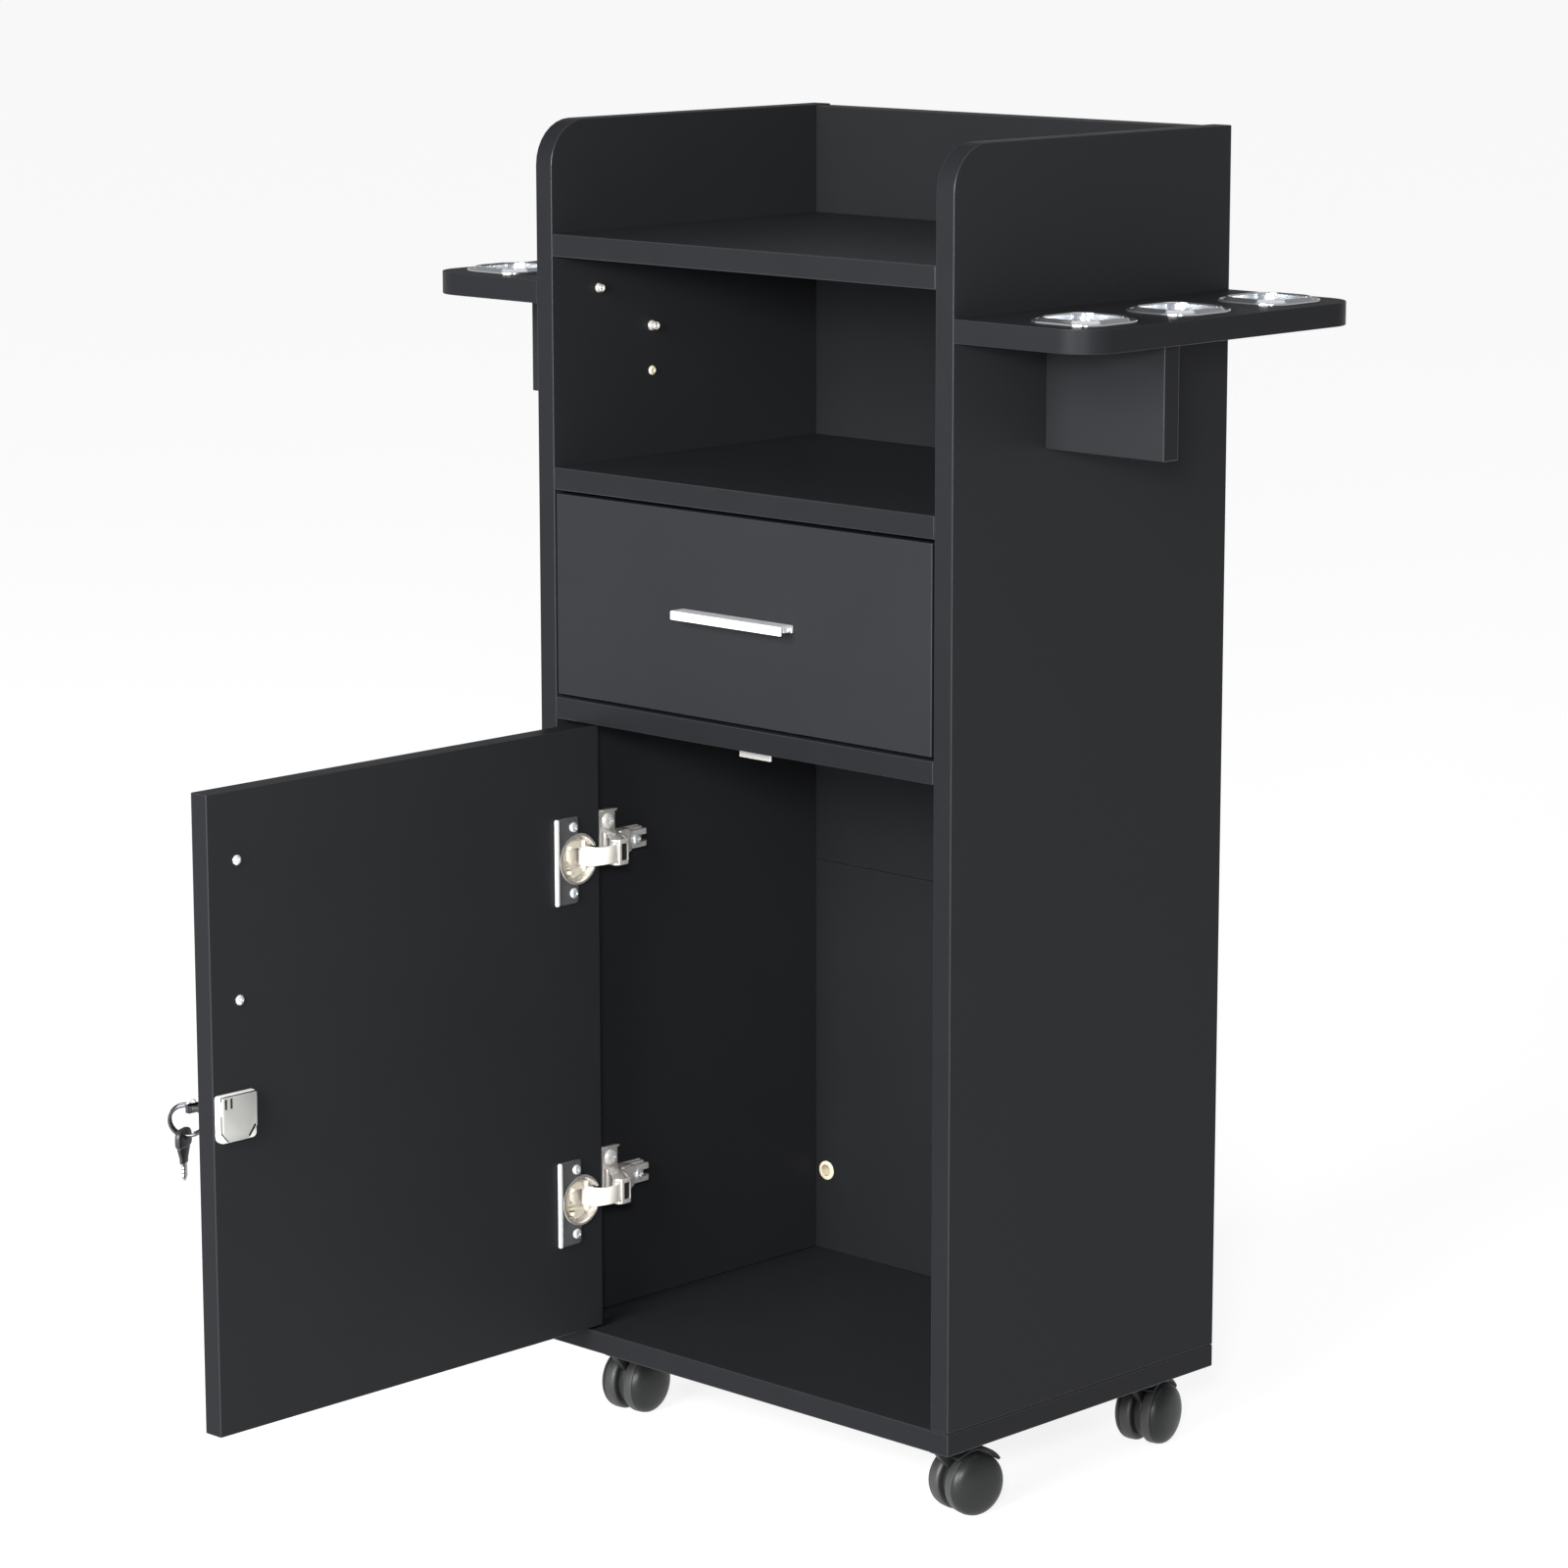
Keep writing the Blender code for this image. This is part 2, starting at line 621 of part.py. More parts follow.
def build_door(frame, board, alloy, steel, zinc):
    """The door, open at a right angle, its handle and its two hinges."""
    pivot = empty("door_pivot", (*CUP_PIN, HINGE_Z["upper"]), frame)
    to_pivot = Vector((-CUP_PIN[0], -CUP_PIN[1], -HINGE_Z["upper"]))
    shape = box_shape((DOOR_OUTER_X, DOOR_FREE_Y, DOOR_LOW), (DOOR_INNER_X, DOOR_EDGE, DOOR_HIGH))
    panel = add("door_panel", moved(shape, to_pivot), board, pivot)
    for level in HINGE_Z:
        centre = (DOOR_EDGE - CUP_FROM_EDGE, HINGE_Z[level])
        pocket = cylinder_shape(
            centre, CUP_RADIUS + 0.0003, DOOR_INNER_X - CUP_DEPTH - 0.0003, DOOR_INNER_X + 0.02, "X", 28
        )
        cut(panel, moved(pocket, to_pivot))
        build_hinge(frame, pivot, level, steel, zinc)
    barrel_hole = cylinder_shape(
        (DOOR_EDGE - LOCK_FROM_EDGE, LOCK_Z),
        LOCK_BARREL_RADIUS + 0.0004,
        DOOR_OUTER_X - 0.01,
        DOOR_INNER_X + 0.01,
        "X",
        28,
    )
    cut(panel, moved(barrel_hole, to_pivot))

    # The handle stands upright on the outer face, with its open side towards the hinges.
    stand = empty("door_handle_mount", (0, 0, 0), pivot)
    stand.location = Vector((DOOR_OUTER_X, DOOR_EDGE - DOOR_HANDLE_EDGE, DOOR_HANDLE_Z)) + to_pivot
    stand.rotation_euler = (math.pi / 2, math.pi / 2, 0)
    handle = add("door_handle", handle_shape(), alloy, stand)
    for side in (-1, 1):
        join(handle, handle_boss(side))
    return pivot


def key_outline(head_length, head_width, shank):
    """A key in its own plane: head on the left of x = 0, a short neck and the blade to the right."""
    half = head_width / 2
    corner = 0.007
    head = circle((-head_length + corner, half - corner), corner, 6, math.pi / 2, math.pi)
    head += circle((-head_length + corner, corner - half), corner, 6, math.pi, 1.5 * math.pi)
    neck = [(-0.008, -half), (-0.001, -0.0048), (0.003, -0.0036)]
    tip = [(shank - 0.003, -0.0036), (shank, 0.0), (shank - 0.003, 0.0036)]
    return head + neck + tip + [(x, -y) for x, y in reversed(neck)]


def build_lock(door_pivot, steel, zinc, plastic):
    """A rim lock: case and barrel on the door, a plug with its key, the bolt and a spare key."""
    axis_y = DOOR_EDGE - LOCK_FROM_EDGE
    to_pivot = Vector((-CUP_PIN[0], -CUP_PIN[1], -HINGE_Z["upper"]))
    half = LOCK_CASE / 2
    face = DOOR_INNER_X + GAP
    chamfer = 0.006
    outline = [
        (axis_y - half, LOCK_Z + half),
        (axis_y - half, LOCK_Z - half + chamfer),
        (axis_y - half + chamfer, LOCK_Z - half),
        (axis_y + half - chamfer, LOCK_Z - half),
        (axis_y + half, LOCK_Z - half + chamfer),
        (axis_y + half, LOCK_Z + half),
    ]
    case = add(
        "lock_case",
        moved(prism_shape(outline, face, face + LOCK_CASE_DEPTH, "X"), to_pivot),
        zinc,
        door_pivot,
        smooth=True,
    )
    barrel = cylinder_shape(
        (axis_y, LOCK_Z), LOCK_BARREL_RADIUS, DOOR_OUTER_X - 0.0015, face + 0.001, "X", 20
    )
    join(case, moved(barrel, to_pivot))
    plug_end = face + 0.0008
    bore = cylinder_shape(
        (axis_y, LOCK_Z), LOCK_PLUG_RADIUS + 0.0003, DOOR_OUTER_X - 0.01, plug_end + 0.0004, "X", 28
    )
    cut(case, moved(bore, to_pivot))
    tip_y = DOOR_EDGE - BOLT_TIP_FROM_EDGE
    bolt_low_x = face + BOLT_BEHIND_FACE
    bolt_high_x = bolt_low_x + BOLT_THICK
    chamber = box_shape(
        (plug_end + 0.0002, tip_y - 0.02, BOLT_LOW - 0.0012),
        (bolt_high_x + 0.0003, tip_y + BOLT_LENGTH + 0.0006, BOLT_HIGH + 0.0004),
    )
    cut(case, moved(chamber, to_pivot))

    bolt_slide = empty("bolt_slide", Vector((bolt_low_x, tip_y, BOLT_LOW)) + to_pivot, door_pivot)
    to_bolt = Vector((-bolt_low_x, -tip_y, -BOLT_LOW))
    shape = box_shape((bolt_low_x, tip_y, BOLT_LOW), (bolt_high_x, tip_y + BOLT_LENGTH, BOLT_HIGH))
    bolt = add("lock_bolt", moved(shape, to_bolt), steel, bolt_slide)
    drive_offset = DRIVE_RADIUS * math.sin(math.pi / 4)
    drive_y = axis_y + drive_offset
    notch = box_shape(
        (bolt_low_x - 0.01, drive_y - 0.0017, BOLT_LOW - 0.01),
        (bolt_high_x + 0.01, drive_y + 0.0017, LOCK_Z + DRIVE_RADIUS + 0.0018),
    )
    cut(bolt, moved(notch, to_bolt))

    turn = empty("key_turn", Vector((DOOR_OUTER_X, axis_y, LOCK_Z)) + to_pivot, door_pivot)
    to_turn = Vector((-DOOR_OUTER_X, -axis_y, -LOCK_Z))
    shape = cylinder_shape(
        (axis_y, LOCK_Z), LOCK_PLUG_RADIUS, DOOR_OUTER_X - 0.0020, plug_end, "X", 28
    )
    plug = add("lock_plug", moved(shape, to_turn), steel, turn, smooth=True)
    drive = cylinder_shape(
        (drive_y, LOCK_Z + drive_offset), DRIVE_PIN_RADIUS, plug_end - 0.001, bolt_high_x - 0.0004, "X", 12
    )
    join(plug, moved(drive, to_turn))
    keyway = box_shape(
        (DOOR_OUTER_X - 0.01, axis_y - 0.0040, LOCK_Z - 0.0013),
        (face - 0.0022, axis_y + 0.0040, LOCK_Z + 0.0013),
    )
    cut(plug, moved(keyway, to_turn))

    # The key in the lock lies flat; its head starts in front of the barrel.
    head_x = DOOR_OUTER_X - KEY_CLEAR_OF_DOOR
    half_thick = KEY_THICK / 2
    outline = key_outline(KEY_HEAD, KEY_HEAD_WIDTH, KEY_BLADE)
    outline = [(head_x + x, axis_y + y) for x, y in outline]
    shape = prism_shape(outline, LOCK_Z - half_thick, LOCK_Z + half_thick, "Z")
    key = add("door_key", moved(shape, to_turn), plastic, turn, smooth=True)
    eye_x = head_x - KEY_HEAD + KEY_EYE_FROM_END
    grip = rounded_square((eye_x + 0.0025, axis_y), 0.0108, 0.0065)
    grip_half = KEY_HEAD_THICK / 2
    join(key, moved(prism_shape(grip, LOCK_Z - grip_half, LOCK_Z + grip_half, "Z"), to_turn))
    eye = cylinder_shape((eye_x, axis_y), KEY_EYE_RADIUS, LOCK_Z - 0.01, LOCK_Z + 0.01, "Z", 16)
    cut(key, moved(eye, to_turn))

    # The spare key hangs plumb below the eye of the first, on a split ring between the two.
    swing = empty("key_ring_swing", Vector((eye_x - DOOR_OUTER_X, 0, 0)), turn)
    aside = (SPARE_ASIDE, 0, 0)
    head_low = -SPARE_DROP - SPARE_HEAD
    outline = [(y, head_low - x) for x, y in key_outline(SPARE_HEAD, SPARE_HEAD_WIDTH, SPARE_BLADE)]
    shape = prism_shape(outline, -half_thick, half_thick, "X")
    spare = add("spare_key", moved(shape, aside), plastic, swing, smooth=True)
    grip = rounded_square((0, -SPARE_DROP - 0.0075), 0.0073, 0.0045)
    grip_half = SPARE_HEAD_THICK / 2
    join(spare, moved(prism_shape(grip, -grip_half, grip_half, "X"), aside))
    hole = cylinder_shape((0, -SPARE_DROP - 0.0035), SPARE_EYE_RADIUS, -0.01, 0.01, "X", 16)
    cut(spare, moved(hole, aside))


def build_door_stop(frame, steel):
    """A small angle under the divider that the closed door rests against."""
    under = DIVIDER_LOW - GAP
    outline = [
        (0.0165, under),
        (0.0165, under - 0.0080),
        (0.0180, under - 0.0080),
        (0.0180, under - 0.0015),
        (0.0290, under - 0.0015),
        (0.0290, under),
    ]
    add("door_stop", prism_shape(outline, -0.015, 0.015, "X"), steel, frame)


def wheel_profile():
    """Half section of a wheel with a blind bore: a flat tread and a domed outer cheek."""
    bore = AXLE_RADIUS + 0.0002
    dome = []
    steps = 4
    for index in range(steps):
        angle = math.pi / 2 * index / steps
        along = WHEEL_INNER + 0.0095 + (WHEEL_OUTER - WHEEL_INNER - 0.0095) * math.sin(angle)
        dome.append((along, 0.006 + (WHEEL_RADIUS - 0.006) * math.cos(angle)))
    inner = [(0.0195, 0.0), (0.0195, bore), (WHEEL_INNER, bore), (WHEEL_INNER, WHEEL_RADIUS - 0.0015)]
    tread = [(WHEEL_INNER + 0.0015, WHEEL_RADIUS)]
    return inner + tread + dome + [(WHEEL_OUTER, 0.006), (WHEEL_OUTER, 0.0)]


def build_caster(frame, name, x, y, steel, plastic):
    """A twin-wheel caster: screwed plate, swivelling body with its kingpin and axle, two wheels."""
    half = CASTER_PLATE / 2
    top = CASTER_HEIGHT - GAP
    plate = add(
        f"{name}_caster_plate",
        box_shape((x - half, y - half, top - CASTER_PLATE_THICK), (x + half, y + half, top)),
        steel,
        frame,
    )
    join(plate, cylinder_shape((x, y), RACE_RADIUS, RACE_LOW, top - 0.001, "Z", 18))
    cut(plate, cylinder_shape((x, y), KINGPIN_RADIUS + GAP, 0.04, top - 0.0012, "Z", 12))

    # The swivelling body is a web between the wheels under a crown, with a fender over them.
    swivel = empty(f"{name}_swivel", (x, y, CASTER_HEIGHT), frame)
    swivel.rotation_euler.z = math.radians(CASTER_TURN[name])
    axle = empty(f"{name}_axle", (0, CASTER_TRAIL, WHEEL_RADIUS - CASTER_HEIGHT), swivel)
    hub = (CASTER_TRAIL, axle.location.z)
    crown_top = CROWN_TOP - CASTER_HEIGHT
    pin_top = top - 0.0016 - CASTER_HEIGHT
    outline = circle(hub, WEB_RADIUS, 11, math.radians(-215), math.radians(65))
    outline += [(0.014, crown_top - 0.002), (-0.013, crown_top - 0.002)]
    shape = prism_shape(outline, -WEB_HALF, WEB_HALF, "X")
    body = add(f"{name}_caster_body", shape, plastic, swivel, smooth=True)
    join(body, cylinder_shape((0, 0), CROWN_RADIUS, crown_top - 0.0042, crown_top, "Z", 18))
    join(body, cylinder_shape((0, 0), KINGPIN_RADIUS, crown_top - 0.002, pin_top, "Z", 12))
    fender = circle(hub, FENDER_OUTER, 7, math.radians(35), math.radians(128))
    fender += circle(hub, FENDER_INNER, 7, math.radians(128), math.radians(35))
    join(body, prism_shape(fender, -FENDER_HALF, FENDER_HALF, "X"))
    join(body, cylinder_shape(hub, AXLE_RADIUS, -AXLE_HALF, AXLE_HALF, "X", 12))

    for side, sign in (("left", -1), ("right", 1)):
        profile = [(sign * along, radius) for along, radius in wheel_profile()]
        add(f"{name}_{side}_wheel", turned_shape(profile, 16), plastic, axle, smooth=True)


def build_casters(frame, steel, plastic):
    rear_y = DEPTH - CASTER_INSET_REAR
    for end, y in (("front", CASTER_INSET_FRONT), ("rear", rear_y)):
        for side, x in (("left", -CASTER_X), ("right", CASTER_X)):
            build_caster(frame, f"{end}_{side}", x, y, steel, plastic)


def main():
    clear_scene()
    board = material("black_board", (0.045, 0.047, 0.050), 0.45)
    drawer_inner = material("drawer_board", (0.035, 0.036, 0.038), 0.55)
    chrome = material("chrome", (0.88, 0.89, 0.90), 0.06, 1.0)
    alloy = material("handle_alloy", (0.82, 0.83, 0.84), 0.22, 1.0)
    steel = material("hinge_steel", (0.72, 0.71, 0.69), 0.25, 1.0)
    zinc = material("lock_zinc", (0.74, 0.73, 0.71), 0.35, 1.0)
    plastic = material("black_plastic", (0.028, 0.029, 0.031), 0.38)

    # The frame is set back so that the object's middle, door included, is over the origin.
    frame = empty("cart_frame", (0, (-DOOR_FREE_Y - DEPTH - WHEEL_OVERHANG) / 2, 0))
    build_boards(frame, board)
    build_holders(frame, board, chrome)
    build_drawer(frame, board, drawer_inner, steel, alloy)
    door_pivot = build_door(frame, board, alloy, steel, zinc)
    build_lock(door_pivot, steel, zinc, plastic)
    build_door_stop(frame, steel)
    build_casters(frame, steel, plastic)


main()
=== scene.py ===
"""The look of a spa trolley cart: board, chrome, hinges, lock, handles and casters, in a studio."""

import json
import math

import bmesh
import bpy
from mathutils import Matrix, Vector

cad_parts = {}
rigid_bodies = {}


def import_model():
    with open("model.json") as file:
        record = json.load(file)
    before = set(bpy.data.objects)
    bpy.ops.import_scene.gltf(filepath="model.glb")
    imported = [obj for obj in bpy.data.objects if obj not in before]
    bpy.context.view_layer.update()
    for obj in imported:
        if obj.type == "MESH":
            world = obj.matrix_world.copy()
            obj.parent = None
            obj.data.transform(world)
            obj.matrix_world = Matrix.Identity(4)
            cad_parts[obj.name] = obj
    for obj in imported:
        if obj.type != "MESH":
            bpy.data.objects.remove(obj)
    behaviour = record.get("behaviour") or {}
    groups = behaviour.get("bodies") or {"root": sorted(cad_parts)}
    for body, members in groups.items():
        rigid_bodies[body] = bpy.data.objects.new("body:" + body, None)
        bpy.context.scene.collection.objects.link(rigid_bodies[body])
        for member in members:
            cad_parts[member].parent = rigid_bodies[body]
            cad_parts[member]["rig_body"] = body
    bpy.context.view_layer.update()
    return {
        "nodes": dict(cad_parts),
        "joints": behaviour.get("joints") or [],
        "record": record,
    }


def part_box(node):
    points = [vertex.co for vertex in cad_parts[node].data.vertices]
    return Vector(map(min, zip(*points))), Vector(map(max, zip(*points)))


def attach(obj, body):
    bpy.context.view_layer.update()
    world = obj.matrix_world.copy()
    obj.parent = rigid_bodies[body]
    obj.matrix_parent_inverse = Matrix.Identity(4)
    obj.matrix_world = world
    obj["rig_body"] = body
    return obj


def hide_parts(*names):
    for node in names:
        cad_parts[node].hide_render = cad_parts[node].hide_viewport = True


for old in list(bpy.data.objects):
    bpy.data.objects.remove(old)

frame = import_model()

NODES = frame["nodes"]
JOINTS = {joint["name"]: joint for joint in frame["joints"]}
SLOT_OF = {row["node"]: row["material_slot"] for row in frame["record"]["subparts"]}
BODY_OF = {node: made["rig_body"] for node, made in NODES.items()}
SIDES = (("left", -1), ("right", 1))
CORNERS = [f"{end}_{side}" for end in ("front", "rear") for side in ("left", "right")]
LEVELS = ("upper", "lower")

# The plane of the cabinet's front edges, in the frame's own coordinates
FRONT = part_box("bottom_board")[0].y


# ---------------------------------------------------------------- materials


def new_node(tree, kind, inputs=(), **settings):
    """A shader node with its settings and the values of its inputs."""
    made = tree.nodes.new(kind)
    for key, value in settings.items():
        setattr(made, key, value)
    for key, value in dict(inputs).items():
        made.inputs[key].default_value = value
    return made


def surface(
    name,
    colour,
    roughness,
    metallic=0.0,
    colour_spread=0.12,
    rough_spread=0.05,
    cloud=14.0,
    grain=900.0,
    stretch=(1.0, 1.0, 1.0),
    depth=0.00003,
    specular=0.5,
):
    """A Principled surface whose colour and gloss drift slowly, with a fine grain in its relief."""
    made = bpy.data.materials.new(name)
    made.use_nodes = True
    tree = made.node_tree
    shader = tree.nodes["Principled BSDF"]
    shader.inputs["Metallic"].default_value = metallic
    shader.inputs["Specular IOR Level"].default_value = specular
    where = new_node(tree, "ShaderNodeTexCoord")
    spread = new_node(tree, "ShaderNodeMapping", {"Scale": stretch})
    tree.links.new(where.outputs["Object"], spread.inputs["Vector"])
    slow = new_node(tree, "ShaderNodeTexNoise", {"Scale": cloud, "Detail": 4.0, "Roughness": 0.6})
    fine = new_node(tree, "ShaderNodeTexNoise", {"Scale": grain, "Detail": 3.0, "Roughness": 0.55})
    tree.links.new(where.outputs["Object"], slow.inputs["Vector"])
    tree.links.new(spread.outputs["Vector"], fine.inputs["Vector"])
    both = new_node(tree, "ShaderNodeMath", {1: 0.5}, operation="MULTIPLY_ADD")
    half = new_node(tree, "ShaderNodeMath", {1: 0.5}, operation="MULTIPLY")
    tree.links.new(slow.outputs["Fac"], half.inputs[0])
    tree.links.new(fine.outputs["Fac"], both.inputs[0])
    tree.links.new(half.outputs[0], both.inputs[2])
    mix = new_node(tree, "ShaderNodeMix", data_type="RGBA")
    dark = [channel * (1 - colour_spread) for channel in colour]
    light = [channel * (1 + colour_spread) for channel in colour]
    mix.inputs["A"].default_value = (*dark, 1.0)
    mix.inputs["B"].default_value = (*light, 1.0)
    tree.links.new(both.outputs[0], mix.inputs["Factor"])
    tree.links.new(mix.outputs["Result"], shader.inputs["Base Color"])
    gloss = new_node(
        tree,
        "ShaderNodeMapRange",
        {
            "From Min": 0.3,
            "From Max": 0.7,
            "To Min": roughness - rough_spread,
            "To Max": roughness + rough_spread,
        },
    )
    tree.links.new(both.outputs[0], gloss.inputs["Value"])
    tree.links.new(gloss.outputs["Result"], shader.inputs["Roughness"])
    relief = new_node(tree, "ShaderNodeBump", {"Strength": 1.0, "Distance": depth})
    tree.links.new(fine.outputs["Fac"], relief.inputs["Height"])
    tree.links.new(relief.outputs["Normal"], shader.inputs["Normal"])
    return made


BOARD = surface("black_melamine", (0.0150, 0.0156, 0.0171), 0.46, specular=0.05, depth=0.00002)
BAND = surface(
    "black_edge_band",
    (0.0096, 0.0100, 0.0114),
    0.40,
    colour_spread=0.15,
    specular=0.08,
    cloud=30.0,
    depth=0.00002,
)
BOARD_EDGE = surface(
    "black_melamine_edge", (0.0150, 0.0155, 0.0170), 0.30, colour_spread=0.25, specular=0.30, grain=260.0
)
# A darker copy of the board for the back panels: painted shade for the shade inside the compartments
BACK_PANEL_SHADE = surface("black_board_painted_shade", (0.0114, 0.0119, 0.0130), 0.50, specular=0.05, depth=0.00002)
DRAWER = surface("black_foil", (0.011, 0.0115, 0.0125), 0.55, specular=0.2)
# Lighter than the foil: a painted highlight along the drawer boards' rounded edges; its lower roughness is
# the edge's own gloss
DRAWER_HIGHLIGHT_EDGE = surface("black_foil_painted_highlight", (0.02, 0.02, 0.022), 0.45, colour_spread=0.2)
CHROME = surface("chrome_plate", (0.90, 0.91, 0.93), 0.08, 0.97, 0.02, 0.03, 40.0, 500.0, depth=0.000004)
CHROME_BORE = surface("chrome_bore", (0.74, 0.77, 0.81), 0.18, 0.9, 0.10, 0.10, 90.0, 500.0, depth=0.000008)
ALLOY_X = surface(
    "satin_alloy_x", (0.93, 0.94, 0.95), 0.30, 0.55, 0.03, 0.05, 60.0, 1500.0, (0.02, 1.0, 1.0), 0.000012
)
ALLOY_Z = surface(
    "satin_alloy_z", (0.93, 0.94, 0.95), 0.30, 0.55, 0.03, 0.05, 60.0, 1500.0, (1.0, 1.0, 0.02), 0.000012
)
STEEL = surface("nickel_steel", (0.92, 0.89, 0.85), 0.16, 0.66, 0.05, 0.06, 90.0, 900.0, depth=0.000010)
NICKEL = surface("nickel_casting", (0.86, 0.84, 0.80), 0.22, 0.8, 0.05, 0.06, 110.0, 1200.0, depth=0.000014)
PALE = surface("pale_nickel", (0.90, 0.86, 0.79), 0.34, 0.25, 0.04, 0.05, 120.0, 1300.0, depth=0.000012)
CREAM_NICKEL = surface(
    "cream_nickel", (0.86, 0.80, 0.66), 0.36, 0.35, 0.06, 0.05, 150.0, 1300.0, depth=0.000014
)
FLANGE = surface("flange_nickel", (0.80, 0.81, 0.83), 0.20, 0.93, 0.06, 0.06, 110.0, 1200.0, depth=0.000012)
SATIN_ZINC = surface("satin_zinc", (0.36, 0.36, 0.345), 0.42, 0.35, 0.05, 0.06, 120.0, 1600.0, depth=0.00002)
BRIGHT_ZINC = surface("case_zinc", (0.86, 0.86, 0.84), 0.30, 0.35, 0.04, 0.06, 120.0, 1600.0, depth=0.00002)
SILVER = surface("bright_zinc", (0.84, 0.87, 0.89), 0.22, 0.7, 0.06, 0.06, 120.0, 1200.0, depth=0.000012)
KEY_STEEL = surface("key_steel", (0.40, 0.40, 0.41), 0.26, 0.9, 0.06, 0.06, 120.0, 1200.0, depth=0.00001)
RING_WIRE = surface("ring_wire", (0.11, 0.11, 0.12), 0.25, 1.0, 0.10, 0.06, 120.0, 1200.0, depth=0.000008)
CREAM = surface("cream_cap", (0.62, 0.56, 0.42), 0.45, 0.0, 0.08, 0.06, 200.0, 1500.0)
NYLON = surface("black_nylon", (0.013, 0.014, 0.014), 0.40, 0.0, 0.15, 0.08, 60.0, 700.0, specular=0.25)
TREAD = surface("nylon_tread", (0.026, 0.026, 0.026), 0.5, 0.0, 0.35, 0.1, 160.0, 1200.0, depth=0.00005)
KEY_HEAD = surface("key_plastic", (0.016, 0.016, 0.018), 0.4, 0.0, 0.15, 0.08, 200.0, 1800.0)
# A near-black sheet put where there is only shade: painted shade in the lock's slots and gap and behind the
# hinge arm's window
SHADE = surface("painted_shade", (0.012, 0.012, 0.012), 0.6, 0.0, 0.1, 0.05, 200.0, 1500.0, specular=0.1)


# ---------------------------------------------------------------- shapes


def soften(shape, width, segments=2, angle=30.0):
    """Rounds the edges that turn by more than an angle."""
    shape.normal_update()
    bmesh.ops.recalc_face_normals(shape, faces=shape.faces)
    sharp = math.radians(angle)
    edges = []
    for edge in shape.edges:
        if len(edge.link_faces) == 2 and edge.calc_face_angle() > sharp:
            edges.append(edge)
    bmesh.ops.bevel(
        shape,
        geom=edges,
        offset=width,
        offset_type="OFFSET",
        segments=segments,
        profile=0.5,
        affect="EDGES",
        clamp_overlap=True,
    )
    return shape


def block(low, high, soft=0.0003, segments=2):
    """A box between two corners, with its edges rounded."""
    shape = bmesh.new()
    bmesh.ops.create_cube(shape, size=1.0)
    middle = (Vector(low) + Vector(high)) / 2
    size = Vector([abs(b - a) for a, b in zip(low, high)])
    for point in shape.verts:
        point.co = middle + point.co * size
    return soften(shape, soft, segments)


def prism(outline, start, end, axis, soft=0.0003, segments=2):
    """An outline extruded along an axis. Its coordinates are the other two axes, in X, Y, Z order."""
    shape = bmesh.new()
    near = []
    for first, second in outline:
        place = [first, second]
        place.insert("XYZ".index(axis), start)
        near.append(shape.verts.new(place))
    face = shape.faces.new(near)
    made = bmesh.ops.extrude_face_region(shape, geom=[face])["geom"]
    shift = [0.0, 0.0, 0.0]
    shift["XYZ".index(axis)] = end - start
    far = [item for item in made if isinstance(item, bmesh.types.BMVert)]
    bmesh.ops.translate(shape, vec=shift, verts=far)
    if soft:
        soften(shape, soft, segments)
    return shape


def arc(centre, radius, start, end, segments):
    """Points on a circle from one angle to another, in degrees."""
    points = []
    for index in range(segments + 1):
        angle = math.radians(start + (end - start) * index / segments)
        points.append((centre[0] + radius * math.cos(angle), centre[1] + radius * math.sin(angle)))
    return points


def rounded(low, high, radii, segments=5):
    """A rectangle with a radius for each corner: lower left, lower right, upper right, upper left."""
    corners = (
        (low[0], low[1], 1, 1, 180),
        (high[0], low[1], -1, 1, 270),
        (high[0], high[1], -1, -1, 0),
        (low[0], high[1], 1, -1, 90),
    )
    points = []
    for (x, y, along, up, start), radius in zip(corners, radii):
        points += arc((x + along * radius, y + up * radius), radius, start, start + 90, segments)
    return points


def turned(profile, centre, axis="X", segments=48):
    """A profile of (distance along the axis, radius) turned about an axis through a point."""
    shape = bmesh.new()
    rows = []
    for along, radius in profile:
        if radius < 1e-7:
            rows.append([shape.verts.new((along, 0.0, 0.0))])
            continue
        row = []
        for step in range(segments):
            angle = 2 * math.pi * step / segments
            row.append(shape.verts.new((along, radius * math.cos(angle), radius * math.sin(angle))))
        rows.append(row)
    for row, following in zip(rows, rows[1:]):
        for step in range(segments):
            after = (step + 1) % segments
            corners = [row[step % len(row)], row[after % len(row)]]
            corners += [following[after % len(following)], following[step % len(following)]]
            distinct = list(dict.fromkeys(corners))
            if len(distinct) > 2:
                shape.faces.new(distinct)
    turn = Vector({"X": (1, 0, 0), "Y": (0, 1, 0), "Z": (0, 0, 1)}[axis])
    rotation = Vector((1, 0, 0)).rotation_difference(turn).to_matrix().to_4x4()
    bmesh.ops.transform(shape, matrix=Matrix.Translation(centre) @ rotation, verts=shape.verts)
    return shape


def cylinder(start, end, radius, centre, axis="X", segments=48):
    """A round bar between two distances along an axis through a point."""
    return turned([(start, 0.0), (start, radius), (end, radius), (end, 0.0)], centre, axis, segments)


def rod(half_length, radius, soft, centre, segments):
    """An upright round bar about a point, with bevelled ends."""
    profile = [
        (-half_length, 0.0),
        (-half_length, radius - soft),
        (soft - half_length, radius),
        (half_length - soft, radius),
        (half_length, radius - soft),
        (half_length, 0.0),
    ]
    return turned(profile, centre, "Z", segments)


def bridge(shape, row, following):
    """Faces between two closed rows of points."""
    for index in range(len(row)):
        after = (index + 1) % len(row)
        shape.faces.new((row[index], row[after], following[after], following[index]))


